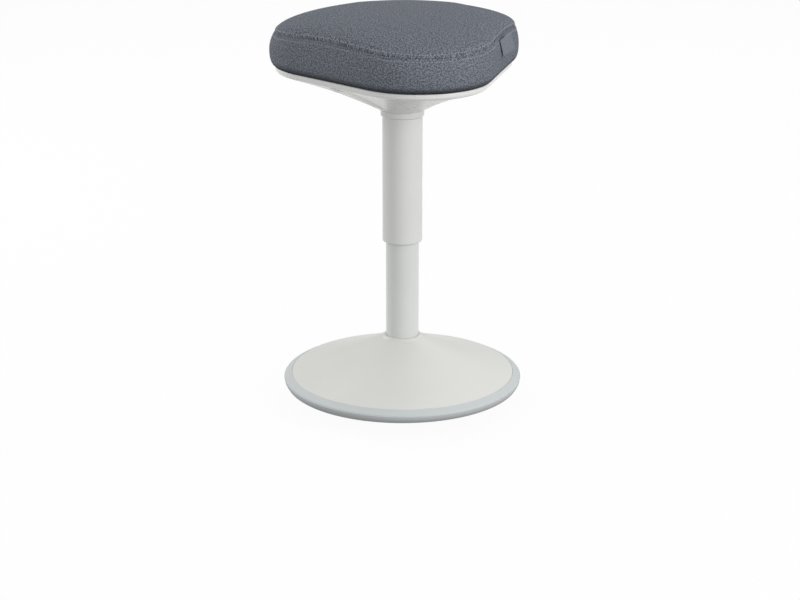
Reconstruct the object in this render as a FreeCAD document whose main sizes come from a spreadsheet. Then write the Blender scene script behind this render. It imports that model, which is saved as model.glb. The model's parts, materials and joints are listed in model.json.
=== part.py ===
"""A height-adjustable wobble stool on a rounded, weighted base.

The stool stands on the flat middle of its sole, with the column upright on the Z axis.
The seat is a rounded triangle whose front corner points along seat_turn.
"""
import FreeCAD, Part
import math
import os

import Sketcher

SHEET = "Sizes"

# Driving dimensions, in millimetres and degrees
DIMENSIONS = {
    # Sole and base
    "contact_radius": 35.0,
    "sole_pad_radius": 45.0,
    "sole_pad_thickness": 4.0,
    "shell_radius": 166.0,
    "shell_wall": 4.0,
    "shell_floor_height": 8.0,
    "shell_rib_width": 6.0,
    "sole_edge_height": 24.0,
    "ring_foot": 12.0,
    "ring_swell": 4.5,
    "ring_rise": 11.0,
    "ring_side_bend": 9.5,
    "ring_chamfer": 1.5,
    "ring_chamfer_rise": 2.0,
    "ring_edge_bend": 2.4,
    "cover_rim_rise": 5.5,
    "cover_lip": 4.5,
    "cover_wall": 3.0,
    "cover_curve": 900.0,
    "collar_foot_width": 6.7,
    "collar_width": 3.2,
    "collar_rise": 4.0,
    "collar_height": 101.0,
    "weight_inset": 22.0,
    "weight_height": 16.0,
    "weight_thickness": 8.0,
    "weight_bore": 30.0,
    "stem_height": 41.5,
    "bite_length": 17.0,
    "screw_inset": 26.0,
    "boss_radius": 7.0,
    "boss_joint_height": 26.0,
    "base_screw_count": 6,
    # Socket and its bolts
    "socket_wall": 6.0,
    "socket_flange_width": 19.0,
    "socket_flange_thickness": 6.0,
    "socket_height": 54.0,
    "socket_web_count": 4,
    "web_inset": 2.0,
    "web_drop": 8.0,
    "bolt_inset": 9.0,
    "bolt_diameter": 8.0,
    "bolt_head_radius": 6.5,
    "bolt_head_height": 5.3,
    "bolt_count": 4,
    # Column
    "tube_radius": 25.0,
    "tube_wall": 2.0,
    "tube_taper": 0.8,
    "tube_top": 403.0,
    "foot_plate_thickness": 3.0,
    "foot_play": 2.0,
    "bush_length": 80.0,
    "bush_collar_height": 3.0,
    "bush_flute_width": 6.0,
    "bush_flute_count": 8,
    "rod_radius": 5.0,
    "rod_neck_radius": 4.0,
    "rod_top_drop": 47.0,
    "rod_end": 2.0,
    "washer_thickness": 1.5,
    "washer_radius": 12.0,
    "ball_diameter": 4.0,
    "ball_circle": 8.5,
    "ball_count": 8,
    "cage_thickness": 1.2,
    "damper_radius": 13.0,
    "damper_length": 22.0,
    "damper_bend": 8.0,
    "clip_thickness": 1.5,
    "clip_radius": 8.0,
    "clip_groove": 0.8,
    "piston_height": 10.0,
    "piston_drop": 3.0,
    "seal_height": 3.0,
    "seal_depth": 1.5,
    # Seat height, and what hangs from it
    "neck_height": 453.0,
    "sleeve_length": 202.0,
    "cylinder_reach": 17.0,
    "cylinder_taper_length": 25.0,
    "cylinder_length": 315.0,
    "lever_pivot_rise": 7.0,
    "pan_depth": 62.5,
    "roll_height": 24.5,
    "side_height": 29.0,
    "crown_rise": 34.0,
    # Gas cylinder
    "cylinder_radius": 14.0,
    "cylinder_wall": 1.5,
    "cylinder_taper": 0.9,
    "gland_height": 18.0,
    "cap_thickness": 9.0,
    "valve_radius": 3.0,
    "valve_length": 20.0,
    "valve_stand": 4.6,
    "valve_collar_step": 1.5,
    # Sleeve
    "sleeve_space": 2.8,
    "sleeve_wall": 2.2,
    "sleeve_lip": 3.0,
    "sleeve_edge": 1.5,
    "sleeve_collar_step": 2.5,
    "sleeve_collar_height": 10.0,
    "sleeve_spigot": 11.0,
    # Pan
    "seat_turn": 285.0,
    "pan_side": 147.0,
    "pan_corner": 191.5,
    "pan_flange": 5.0,
    "pan_step": 0.8,
    "pan_shoulder_drop": 5.0,
    "pan_shoulder_inset": 5.0,
    "pan_flare": 4.0,
    "pan_wall": 2.8,
    "pan_screw_margin": 43.0,
    "pan_boss_radius": 6.0,
    # Board and cushion
    "board_thickness": 12.0,
    "board_inset": 6.0,
    "foot_inset": 0.5,
    "side_overhang": 10.0,
    "corner_overhang": 9.5,
    "seam_side_inset": 4.7,
    "seam_corner_inset": 9.0,
    "seam_groove": 1.6,
    "cover_thickness": 1.8,
    # Seat plate, hub and screws
    "plate_half": 70.0,
    "plate_thickness": 3.0,
    "plate_corner": 16.0,
    "plate_bore": 15.0,
    "plate_screw_margin": 14.0,
    "bead_width": 10.0,
    "bead_depth": 1.6,
    "hub_radius": 19.0,
    "hub_window": 12.0,
    "screw_radius": 3.0,
    "screw_head_radius": 6.0,
    "screw_head_height": 3.3,
    # Lever
    "lever_pivot_radius": 36.0,
    "lever_barrel_radius": 5.5,
    "lever_pin_radius": 2.5,
    "lever_pin_length": 24.0,
    "lever_arm_width": 9.0,
    "lever_arm_thickness": 5.0,
    "lever_arm_root": 16.0,
    "lever_inner": 45.0,
    "lever_margin": 13.0,
    "lever_inner_width": 14.0,
    "lever_outer_width": 28.0,
    "lever_thickness": 3.4,
    "lever_proud": 1.4,
    "lever_nub_radius": 5.2,
    "bracket_wall": 2.5,
    "bracket_length": 16.0,
    # Tag
    "tag_turn": 330.0,
    "tag_aside": 4.6,
    "tag_top_stand": 5.3,
    "tag_foot_stand": 5.1,
    "tag_rise": 5.0,
    "tag_width": 34.0,
    "tag_height": 25.0,
    "tag_thickness": 1.0,
    # Fits
    "fit_gap": 0.3,
    "slot_gap": 1.2,
    "running_gap": 0.05,
    "free_gap": 0.1,
    "edge_ease": 1.0,
}


class Size:
    """A length with the sheet expression that gives it."""

    def __init__(self, value, text):
        self.value = float(value)
        self.text = text

    @staticmethod
    def of(other):
        return other if isinstance(other, Size) else Size(other, "(%r)" % float(other))

    def _join(self, sign, other, value):
        return Size(value, "(%s %s %s)" % (self.text, sign, other.text))

    def __add__(self, other):
        other = Size.of(other)
        return self._join("+", other, self.value + other.value)

    def __sub__(self, other):
        other = Size.of(other)
        return self._join("-", other, self.value - other.value)

    def __mul__(self, other):
        other = Size.of(other)
        return self._join("*", other, self.value * other.value)

    def __truediv__(self, other):
        other = Size.of(other)
        return self._join("/", other, self.value / other.value)

    def __radd__(self, other):
        return Size.of(other) + self

    def __rsub__(self, other):
        return Size.of(other) - self

    def __rmul__(self, other):
        return Size.of(other) * self

    def __neg__(self):
        return Size.of(0.0) - self

    def root(self):
        return Size(math.sqrt(self.value), "sqrt(%s)" % self.text)


class Sizes:
    """The sheet's values, each read by its alias."""

    def __init__(self, names):
        for name, value in names.items():
            setattr(self, name, Size(value, "%s.%s" % (SHEET, name)))


def make_sheet(doc):
    sheet = doc.addObject("Spreadsheet::Sheet", SHEET)
    for row, (name, value) in enumerate(DIMENSIONS.items(), start=1):
        sheet.set("A%d" % row, name)
        sheet.set("B%d" % row, str(value))
        sheet.setAlias("B%d" % row, name)
    doc.recompute()
    return sheet


doc = FreeCAD.newDocument("wobble_stool")
sheet = make_sheet(doc)
S = Sizes(DIMENSIONS)
nodes = []

# Sizes that follow from the driving ones

S.screw_circle = S.shell_radius - S.screw_inset
S.weight_radius = S.screw_circle - S.weight_inset
S.sole_edge_radius = S.shell_radius + S.ring_foot
S.ring_radius = S.sole_edge_radius + S.ring_swell
S.ring_shoulder_radius = S.ring_radius - S.ring_chamfer
S.cover_radius = S.shell_radius + S.cover_lip
S.ring_wide_height = S.sole_edge_height + S.ring_rise
S.ring_shoulder_height = S.ring_wide_height + S.ring_chamfer_rise
S.cover_rim_height = S.ring_shoulder_height + S.cover_rim_rise
S.collar_foot_radius = S.tube_radius + S.collar_foot_width
S.collar_radius = S.tube_radius + S.collar_width
S.collar_foot_height = S.collar_height - S.collar_rise
S.socket_radius = S.tube_radius + S.socket_wall
S.socket_flange_radius = S.socket_radius + S.socket_flange_width
S.bolt_circle = S.socket_radius + S.bolt_inset
S.rod_top = S.tube_top - S.rod_top_drop
S.sleeve_radius = S.tube_radius + S.sleeve_space + S.sleeve_wall
S.sleeve_collar_radius = S.sleeve_radius + S.sleeve_collar_step
S.sleeve_bottom = S.neck_height - S.sleeve_length
S.cylinder_shoulder = S.neck_height + S.cylinder_reach
S.cylinder_top = S.cylinder_shoulder + S.cylinder_taper_length
S.cylinder_bottom = S.cylinder_top - S.cylinder_length
S.lever_pivot_height = S.cylinder_top + S.lever_pivot_rise
S.lever_outer = S.pan_side - S.lever_margin
S.board_height = S.neck_height + S.pan_depth
S.board_side = S.pan_side - S.board_inset
S.board_corner = S.pan_corner - S.board_inset
S.pan_screw_circle = S.pan_side - S.pan_screw_margin
S.plate_screw_offset = S.plate_half - S.plate_screw_margin
S.widest_height = S.board_height + S.roll_height
S.seam_height = S.widest_height + S.side_height
S.crown_height = S.seam_height + S.crown_rise
S.foot_side = S.pan_side - S.foot_inset
S.foot_corner = S.pan_corner - S.foot_inset
S.widest_side = S.pan_side + S.side_overhang
S.widest_corner = S.pan_corner + S.corner_overhang
S.seam_side = S.widest_side - S.seam_side_inset
S.seam_corner = S.widest_corner - S.seam_corner_inset


# Drawing helpers

def new_body(label, turn=None):
    """Starts a sub-part; turn rotates it about the column's axis."""
    body = doc.addObject("PartDesign::Body", label)
    body.Label = label
    if turn is not None:
        rotation = FreeCAD.Rotation(FreeCAD.Vector(0, 0, 1), turn.value)
        body.Placement = FreeCAD.Placement(FreeCAD.Vector(), rotation)
        body.setExpression("Placement.Rotation.Angle", turn.text)
    nodes.append(body)
    return body


def origin_feature(body, role):
    return next(item for item in body.Origin.OriginFeatures if item.Role == role)


def place_vertex(sketch, edge, end, x, y):
    """Pins one end of an edge to sizes measured from the sketch's origin."""
    for kind, axis, length in (("DistanceX", -2, x), ("DistanceY", -1, y)):
        length = Size.of(length)
        if abs(length.value) < 1e-9:
            sketch.addConstraint(Sketcher.Constraint("PointOnObject", edge, end, axis))
        else:
            index = sketch.addConstraint(Sketcher.Constraint(kind, -1, 1, edge, end, length.value))
            sketch.setExpression("Constraints[%d]" % index, length.text)


def new_sketch(body, name, plane="XY_Plane", height=None):
    sketch = body.newObject("Sketcher::SketchObject", name)
    sketch.AttachmentSupport = [(origin_feature(body, plane), "")]
    sketch.MapMode = "FlatFace"
    if height is not None:
        height = Size.of(height)
        sketch.AttachmentOffset = FreeCAD.Placement(FreeCAD.Vector(0, 0, height.value), FreeCAD.Rotation())
        sketch.setExpression(".AttachmentOffset.Base.z", height.text)
    return sketch


def draw_outline(sketch, points):
    """Draws a closed outline.

    A point is (x, y) or (x, y, radius, side): the edge that leaves it is then an arc whose
    centre lies to the left of the way to the next point (side 1) or to its right (side -1).
    """
    first = sketch.GeometryCount
    ends = []
    for index, point in enumerate(points):
        following = points[(index + 1) % len(points)]
        x0, y0 = Size.of(point[0]), Size.of(point[1])
        x1, y1 = Size.of(following[0]), Size.of(following[1])
        if len(point) == 2:
            start = FreeCAD.Vector(x0.value, y0.value, 0)
            stop = FreeCAD.Vector(x1.value, y1.value, 0)
            sketch.addGeometry(Part.LineSegment(start, stop), False)
            ends.append((1, 2))
            continue
        radius, side = Size.of(point[2]), point[3]
        across, along = x1.value - x0.value, y1.value - y0.value
        chord = math.hypot(across, along)
        rise = math.sqrt(max(radius.value ** 2 - chord ** 2 / 4, 0.0)) * side
        centre_x = (x0.value + x1.value) / 2 - along / chord * rise
        centre_y = (y0.value + y1.value) / 2 + across / chord * rise
        start = math.atan2(y0.value - centre_y, x0.value - centre_x)
        stop = math.atan2(y1.value - centre_y, x1.value - centre_x)
        if side < 0:
            start, stop = stop, start
        circle = Part.Circle(FreeCAD.Vector(centre_x, centre_y, 0), FreeCAD.Vector(0, 0, 1), radius.value)
        sketch.addGeometry(Part.ArcOfCircle(circle, start, stop), False)
        ends.append((1, 2) if side > 0 else (2, 1))
    for index, point in enumerate(points):
        edge = first + index
        behind = (index - 1) % len(points)
        sketch.addConstraint(
            Sketcher.Constraint("Coincident", first + behind, ends[behind][1], edge, ends[index][0]))
        place_vertex(sketch, edge, ends[index][0], point[0], point[1])
        if len(point) == 4:
            radius = Size.of(point[2])
            bend = sketch.addConstraint(Sketcher.Constraint("Radius", edge, radius.value))
            sketch.setExpression("Constraints[%d]" % bend, radius.text)
    return sketch


def draw_circle(sketch, x, y, radius):
    radius = Size.of(radius)
    index = sketch.GeometryCount
    centre = FreeCAD.Vector(Size.of(x).value, Size.of(y).value, 0)
    sketch.addGeometry(Part.Circle(centre, FreeCAD.Vector(0, 0, 1), radius.value), False)
    place_vertex(sketch, index, 3, x, y)
    bend = sketch.addConstraint(Sketcher.Constraint("Radius", index, radius.value))
    sketch.setExpression("Constraints[%d]" % bend, radius.text)
    return sketch


def set_size(feature, name, length):
    length = Size.of(length)
    setattr(feature, name, length.value)
    feature.setExpression(name, length.text)


def turn_profile(body, name, points, groove=False):
    """Revolves a half section, drawn in radius and height, about the column's axis."""
    sketch = draw_outline(new_sketch(body, name + "_section", "XZ_Plane"), points)
    kind = "PartDesign::Groove" if groove else "PartDesign::Revolution"
    feature = body.newObject(kind, name)
    feature.Profile = sketch
    feature.ReferenceAxis = (sketch, ["V_Axis"])
    feature.Angle = 360
    body.Tip = feature
    return feature


def pad(body, name, sketch, length=None, up_to_first=False, down=False):
    feature = body.newObject("PartDesign::Pad", name)
    feature.Profile = sketch
    feature.Reversed = down
    if up_to_first:
        feature.Type = "UpToFirst"
    else:
        set_size(feature, "Length", length)
    return feature


def pocket(body, name, sketch, length, up=False, both_ways=False):
    """Cuts down from the sketch, or up, or half the length to each side of it."""
    feature = body.newObject("PartDesign::Pocket", name)
    feature.Profile = sketch
    feature.Reversed = up
    feature.Midplane = both_ways
    set_size(feature, "Length", length)
    return feature


def ring_of(body, name, features, count, angle=360.0):
    """Repeats features about the column's axis."""
    pattern = body.newObject("PartDesign::PolarPattern", name)
    pattern.Originals = features
    pattern.Axis = (origin_feature(body, "Z_Axis"), [""])
    pattern.Angle = angle
    pattern.Occurrences = int(Size.of(count).value)
    if isinstance(count, Size):
        pattern.setExpression("Occurrences", count.text)
    body.Tip = pattern
    return pattern


def along_and_across(out, aside, angle):
    """The point that lies out along a direction of the seat plan and aside from it."""
    cosine, sine = math.cos(math.radians(angle)), math.sin(math.radians(angle))
    out, aside = Size.of(out), Size.of(aside)
    return out * cosine - aside * sine, out * sine + aside * cosine


# Seat plan: a triangle with large round corners, or the circle that it fades into

CORNERS = (0.0, 120.0, 240.0)
CIRCLE_SPLIT = 31.0


def triangle_outline(side, corner):
    """A rounded triangle: side is the distance to its flats, corner the reach of its corners."""
    side, corner = Size.of(side), Size.of(corner)
    centre = (corner - side) * 2
    bend = side * 2 - corner
    points = []
    for direction in CORNERS:
        middle = along_and_across(centre, 0.0, direction)
        for turn in (-60.0, 60.0):
            reach = along_and_across(bend, 0.0, direction + turn)
            place = (middle[0] + reach[0], middle[1] + reach[1])
            points.append(place + (bend, 1) if turn < 0 else place)
    return points


def circle_outline(radius):
    """A circle in six arcs that answer the six edges of the rounded triangle."""
    points = []
    for direction in CORNERS:
        for turn in (-CIRCLE_SPLIT, CIRCLE_SPLIT):
            points.append(along_and_across(radius, 0.0, direction + turn) + (radius, 1))
    return points


def loft(body, name, sections, ruled=False, cut=False):
    """Lofts through (height, outline) sections."""
    sketches = []
    for index, (height, outline) in enumerate(sections, start=1):
        sketches.append(draw_outline(new_sketch(body, "%s_%d" % (name, index), height=height), outline))
    feature = body.newObject("PartDesign::SubtractiveLoft" if cut else "PartDesign::AdditiveLoft", name)
    feature.Profile = sketches[0]
    feature.Sections = sketches[1:]
    feature.Ruled = ruled
    body.Tip = feature
    return feature


# The plastic screws are small: their share of a plate screw's shank and head, and how far they bite

SMALL_SHANK = 0.67
SMALL_HEAD = 0.8
BITE_DEPTH = 0.8

# The rounded sole is part of a sphere whose centre is on the column's axis

sole_centre = (S.sole_edge_radius * S.sole_edge_radius + S.sole_edge_height * S.sole_edge_height
               - S.contact_radius * S.contact_radius) / (S.sole_edge_height * 2)
sole_sphere = (sole_centre * sole_centre + S.contact_radius * S.contact_radius).root()


def sphere_height(radius, inset=0.0):
    """Height of the sole's sphere, or of the surface inset above it, at a radius."""
    ball = sole_sphere - inset
    radius = Size.of(radius)
    return sole_centre - (ball * ball - radius * radius).root()


def make_sole_pad():
    body = new_body("sole_pad")
    turn_profile(body, "pad", [
        (0, 0), (S.contact_radius, 0, sole_sphere, 1),
        (S.sole_pad_radius, sphere_height(S.sole_pad_radius)),
        (S.sole_pad_radius, S.sole_pad_thickness), (0, S.sole_pad_thickness)])


def make_base_shell():
    body = new_body("base_shell")
    recess = S.sole_pad_radius + S.fit_gap
    inner = S.shell_radius - S.shell_wall
    rib = S.weight_radius * 0.5
    rib_inner = rib - S.shell_rib_width
    top = S.cover_rim_height - S.cover_wall
    turn_profile(body, "dish", [
        (0, S.sole_pad_thickness), (recess, S.sole_pad_thickness),
        (recess, sphere_height(recess), sole_sphere, 1),
        (S.shell_radius, sphere_height(S.shell_radius)), (S.shell_radius, top), (inner, top),
        (inner, sphere_height(inner, S.shell_wall), sole_sphere - S.shell_wall, -1),
        (rib, sphere_height(rib, S.shell_wall)), (rib, S.weight_height),
        (rib_inner, S.weight_height), (rib_inner, S.shell_floor_height), (0, S.shell_floor_height)])
    low = sphere_height(S.screw_circle) + S.shell_wall / 2
    boss = draw_circle(new_sketch(body, "boss_circle", height=low), S.screw_circle, 0, S.boss_radius)
    bosses = pad(body, "boss", boss, S.boss_joint_height - low)
    ring_of(body, "bosses", [bosses], S.base_screw_count)
    head = draw_circle(new_sketch(body, "head_circle", height=low), S.screw_circle, 0,
                       S.screw_head_radius * SMALL_HEAD + S.fit_gap)
    recess_cut = pocket(body, "head_recess", head, S.shell_wall * 3, both_ways=True)
    hole = draw_circle(new_sketch(body, "hole_circle", height=S.boss_joint_height), S.screw_circle, 0,
                       S.screw_radius * SMALL_SHANK + S.fit_gap)
    hole_cut = pocket(body, "hole", hole, S.boss_joint_height)
    ring_of(body, "screw_holes", [recess_cut, hole_cut], S.base_screw_count)
    return body


def make_rim_ring():
    body = new_body("rim_ring")
    inner = S.shell_radius + S.fit_gap / 3
    step = S.cover_rim_height - S.cover_wall
    turn_profile(body, "ring", [
        (inner, sphere_height(inner), sole_sphere, 1),
        (S.sole_edge_radius, S.sole_edge_height, S.ring_side_bend, 1),
        (S.ring_radius, S.ring_wide_height, S.ring_edge_bend, 1),
        (S.ring_shoulder_radius, S.ring_shoulder_height),
        (S.cover_radius + S.fit_gap / 3, S.cover_rim_height), (S.cover_radius + S.fit_gap / 3, step),
        (inner, step)])


def make_base_cover():
    body = new_body("base_cover")
    bore = S.tube_radius + S.fit_gap
    land = S.shell_radius - S.shell_wall * 1.5
    step = S.cover_rim_height - S.cover_wall
    rise = (S.collar_foot_height - S.cover_rim_height) / (S.cover_radius - S.collar_foot_radius)
    land_height = S.cover_rim_height + rise * (S.cover_radius - land) * 0.8 - S.cover_wall
    turn_profile(body, "trumpet", [
        (S.cover_radius, step), (S.cover_radius, S.cover_rim_height, S.cover_curve, -1),
        (S.collar_foot_radius, S.collar_foot_height), (S.collar_radius, S.collar_height),
        (bore, S.collar_height), (bore, S.collar_foot_height - S.cover_wall, S.cover_curve + S.cover_wall, 1),
        (land, land_height), (land, step)])
    stem = draw_circle(new_sketch(body, "stem_circle", height=S.boss_joint_height), S.screw_circle, 0,
                       S.boss_radius)
    stem_pad = pad(body, "stem", stem, up_to_first=True)
    ring_of(body, "stems", [stem_pad], S.base_screw_count)
    bite = draw_circle(new_sketch(body, "bite_circle", height=S.boss_joint_height), S.screw_circle, 0,
                       S.screw_radius * SMALL_SHANK)
    bite_cut = pocket(body, "bite", bite, S.bite_length, up=True)
    ring_of(body, "bites", [bite_cut], S.base_screw_count)


def make_base_screws():
    body = new_body("base_screws")
    low = sphere_height(S.screw_circle) + S.shell_wall / 2
    seat = low + S.shell_wall * 1.5
    head = draw_circle(new_sketch(body, "head_circle", height=seat), S.screw_circle, 0,
                       S.screw_head_radius * SMALL_HEAD)
    heads = pad(body, "head", head, S.screw_head_height * SMALL_HEAD, down=True)
    shank = draw_circle(new_sketch(body, "shank_circle", height=seat), S.screw_circle, 0,
                        S.screw_radius * SMALL_SHANK)
    shanks = pad(body, "shank", shank, S.stem_height - seat)
    ring_of(body, "screws", [heads, shanks], S.base_screw_count)


BOLT_START = 45.0


def make_weight_plate():
    body = new_body("weight_plate")
    top = S.weight_height + S.weight_thickness
    turn_profile(body, "disc", [
        (S.weight_bore, S.weight_height), (S.weight_radius - S.edge_ease, S.weight_height),
        (S.weight_radius, S.weight_height + S.edge_ease), (S.weight_radius, top), (S.weight_bore, top)])
    x, y = along_and_across(S.bolt_circle, 0.0, BOLT_START)
    hole = draw_circle(new_sketch(body, "hole_circle", height=top), x, y, S.bolt_diameter / 2)
    ring_of(body, "bolt_holes", [pocket(body, "hole", hole, S.weight_thickness)], S.bolt_count)


def make_column_socket():
    body = new_body("column_socket")
    low = S.weight_height + S.weight_thickness
    top = low + S.socket_height
    flange = low + S.socket_flange_thickness
    turn_profile(body, "socket", [
        (S.tube_radius - S.tube_taper, low), (S.socket_flange_radius, low), (S.socket_flange_radius, flange),
        (S.socket_radius, flange), (S.socket_radius, top), (S.tube_radius, top)])
    root, toe = S.socket_radius - S.edge_ease, S.socket_flange_radius - S.web_inset
    web = new_sketch(body, "web_outline", "XZ_Plane")
    draw_outline(web, [
        (root, flange - S.edge_ease), (toe, flange - S.edge_ease), (toe, flange),
        (S.socket_radius, top - S.web_drop), (root, top - S.web_drop)])
    fin = pad(body, "web", web, S.socket_flange_thickness)
    fin.Midplane = True
    ring_of(body, "webs", [fin], S.socket_web_count)
    x, y = along_and_across(S.bolt_circle, 0.0, BOLT_START)
    hole = draw_circle(new_sketch(body, "bolt_circle", height=flange), x, y, S.bolt_diameter / 2)
    ring_of(body, "bolt_holes", [pocket(body, "hole", hole, S.socket_flange_thickness)], S.bolt_count)


def make_socket_bolts():
    body = new_body("socket_bolts")
    head = new_sketch(body, "hexagon", height=S.weight_height)
    centre = along_and_across(S.bolt_circle, 0.0, BOLT_START)
    corners = []
    for step in range(6):
        x, y = along_and_across(S.bolt_head_radius, 0.0, 60.0 * step)
        corners.append((centre[0] + x, centre[1] + y))
    draw_outline(head, corners)
    heads = pad(body, "head", head, S.bolt_head_height, down=True)
    shank = draw_circle(new_sketch(body, "shank_circle", height=S.weight_height), centre[0], centre[1],
                        S.bolt_diameter / 2)
    shanks = pad(body, "shank", shank, S.weight_thickness + S.socket_flange_thickness + S.foot_play)
    ring_of(body, "bolts", [heads, shanks], S.bolt_count)


# Column: heights follow from the foot plate upwards

foot_low = S.weight_height + S.weight_thickness + S.foot_play
foot_top = foot_low + S.foot_plate_thickness
lower_washer_top = foot_top + S.washer_thickness
ball_low = lower_washer_top + S.free_gap
ball_top = ball_low + S.ball_diameter
upper_washer_top = ball_top + S.washer_thickness
tube_inner = S.tube_radius - S.tube_wall
washer_bore = S.rod_neck_radius + S.free_gap


def make_stand_tube():
    body = new_body("stand_tube")
    seat = S.weight_height + S.weight_thickness
    socket_top = seat + S.socket_height
    drop = S.tube_taper / S.socket_height
    foot_outer = S.tube_radius - S.tube_taper + drop * S.foot_play
    inner_foot = foot_outer - S.tube_wall
    turn_profile(body, "tube", [
        (S.rod_neck_radius + S.free_gap * 2, foot_low), (foot_outer, foot_low), (S.tube_radius, socket_top),
        (S.tube_radius, S.tube_top), (tube_inner, S.tube_top), (tube_inner, socket_top),
        (inner_foot, foot_top), (S.rod_neck_radius + S.free_gap * 2, foot_top)])


def make_guide_bush():
    body = new_body("guide_bush")
    low = S.tube_top - S.bush_length
    top = S.tube_top + S.bush_collar_height
    ease = S.edge_ease
    bore = S.cylinder_radius + S.running_gap
    turn_profile(body, "bush", [
        (bore, low), (tube_inner - ease, low), (tube_inner, low + ease * 2), (tube_inner, S.tube_top),
        (S.tube_radius - ease, S.tube_top), (S.tube_radius, S.tube_top + ease),
        (S.tube_radius - ease, top), (bore + ease, top), (bore, top - ease)])
    slot = new_sketch(body, "flute_outline", height=low)
    root, reach, half = bore + ease * 2, tube_inner + ease, S.bush_flute_width / 2
    draw_outline(slot, [(root, -half), (reach, -half), (reach, half), (root, half)])
    flute = pocket(body, "flute", slot, S.bush_length - ease * 10, up=True)
    ring_of(body, "flutes", [flute], S.bush_flute_count)


def make_washer(label, low, bore):
    body = new_body(label)
    top = low + S.washer_thickness
    turn_profile(body, "washer", [(bore, low), (S.washer_radius, low), (S.washer_radius, top), (bore, top)])


def make_bearing_balls():
    body = new_body("bearing_balls")
    ball = new_sketch(body, "half_disc", "XZ_Plane")
    middle = ball_low + S.ball_diameter / 2
    radius = S.ball_diameter / 2
    draw_outline(ball, [
        (S.ball_circle, ball_low, radius, 1), (S.ball_circle + radius, middle, radius, 1),
        (S.ball_circle, ball_top)])
    turned = body.newObject("PartDesign::Revolution", "ball")
    turned.Profile = ball
    turned.ReferenceAxis = (ball, ["Edge3"])
    turned.Angle = 360
    ring_of(body, "balls", [turned], S.ball_count)


def make_ball_cage():
    body = new_body("ball_cage")
    half = S.cage_thickness / 2
    middle = ball_low + S.ball_diameter / 2
    turn_profile(body, "cage", [
        (S.rod_radius + 0.5, middle - half), (S.washer_radius, middle - half),
        (S.washer_radius, middle + half), (S.rod_radius + 0.5, middle + half)])
    hole = draw_circle(new_sketch(body, "pocket_circle", height=middle + half), S.ball_circle, 0,
                       S.ball_diameter / 2 + S.free_gap)
    ring_of(body, "pockets", [pocket(body, "hole", hole, half * 2)], S.ball_count)


def make_piston_rod():
    body = new_body("piston_rod")
    clip_low = foot_low - S.free_gap - S.washer_thickness - S.clip_thickness
    low = clip_low - S.rod_end
    groove = S.rod_neck_radius - S.clip_groove
    turn_profile(body, "rod", [
        (0, low), (S.rod_neck_radius - S.edge_ease / 2, low), (S.rod_neck_radius, low + S.edge_ease / 2),
        (S.rod_neck_radius, clip_low), (groove, clip_low), (groove, clip_low + S.clip_thickness),
        (S.rod_neck_radius, clip_low + S.clip_thickness), (S.rod_neck_radius, upper_washer_top),
        (S.rod_radius, upper_washer_top), (S.rod_radius, S.rod_top - S.edge_ease),
        (S.rod_radius - S.edge_ease, S.rod_top), (0, S.rod_top)])


def make_rod_clip():
    body = new_body("rod_clip")
    low = foot_low - S.free_gap - S.washer_thickness - S.clip_thickness
    top = low + S.clip_thickness
    bore = S.rod_neck_radius - S.clip_groove
    turn_profile(body, "ring", [(bore, low), (S.clip_radius, low), (S.clip_radius, top), (bore, top)])
    mouth = new_sketch(body, "mouth", height=top)
    draw_outline(mouth, [(0, -bore), (S.clip_radius + 1, -bore), (S.clip_radius + 1, bore), (0, bore)])
    body.Tip = pocket(body, "opening", mouth, S.clip_thickness)


def make_rubber_damper():
    body = new_body("rubber_damper")
    low = upper_washer_top
    top = low + S.damper_length
    end = S.damper_length * 0.3
    top_radius = S.damper_radius - S.edge_ease * 2.5
    bore = S.rod_radius
    turn_profile(body, "damper", [
        (bore, low), (S.damper_radius - S.edge_ease, low), (S.damper_radius, low + S.edge_ease),
        (S.damper_radius, low + end, S.damper_bend, -1), (S.damper_radius, top - end),
        (S.damper_radius, top - S.edge_ease), (top_radius, top), (bore, top)])


def seal_heights():
    """The foot and top of the seal's groove, midway up the piston."""
    middle = S.rod_top - S.piston_drop - S.piston_height / 2
    return middle - S.seal_height / 2, middle + S.seal_height / 2


def make_piston():
    body = new_body("piston")
    outer = S.cylinder_radius - S.cylinder_wall - S.running_gap
    ring_low, ring_top = seal_heights()
    groove = outer - S.seal_depth
    top = S.rod_top - S.piston_drop
    low = top - S.piston_height
    turn_profile(body, "piston", [
        (S.rod_radius, low), (outer, low), (outer, ring_low), (groove, ring_low), (groove, ring_top),
        (outer, ring_top), (outer, top), (S.rod_radius, top)])


def make_piston_seal():
    body = new_body("piston_seal")
    outer = S.cylinder_radius - S.cylinder_wall - S.running_gap
    ring_low, ring_top = seal_heights()
    groove = outer - S.seal_depth
    turn_profile(body, "seal", [
        (groove, ring_low), (outer, ring_low), (outer, ring_top), (groove, ring_top)])


def make_gas_cylinder():
    body = new_body("gas_cylinder")
    inner = S.cylinder_radius - S.cylinder_wall
    tip = S.cylinder_radius - S.cylinder_taper
    turn_profile(body, "cylinder", [
        (inner, S.cylinder_bottom), (S.cylinder_radius, S.cylinder_bottom),
        (S.cylinder_radius, S.cylinder_shoulder), (tip, S.cylinder_top - S.edge_ease),
        (tip - S.edge_ease, S.cylinder_top),
        (S.valve_radius + S.free_gap, S.cylinder_top),
        (S.valve_radius + S.free_gap, S.cylinder_top - S.cap_thickness),
        (inner, S.cylinder_top - S.cap_thickness)])


def make_cylinder_gland():
    body = new_body("cylinder_gland")
    bore = S.rod_radius + S.running_gap
    outer = S.cylinder_radius - S.cylinder_wall
    top = S.cylinder_bottom + S.gland_height
    seal = S.cylinder_bottom + S.gland_height * 0.5
    turn_profile(body, "gland", [
        (bore, S.cylinder_bottom), (outer, S.cylinder_bottom), (outer, top), (bore, top),
        (bore, seal + 2), (bore + 2, seal + 1), (bore + 2, seal - 1), (bore, seal - 2)])


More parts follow.
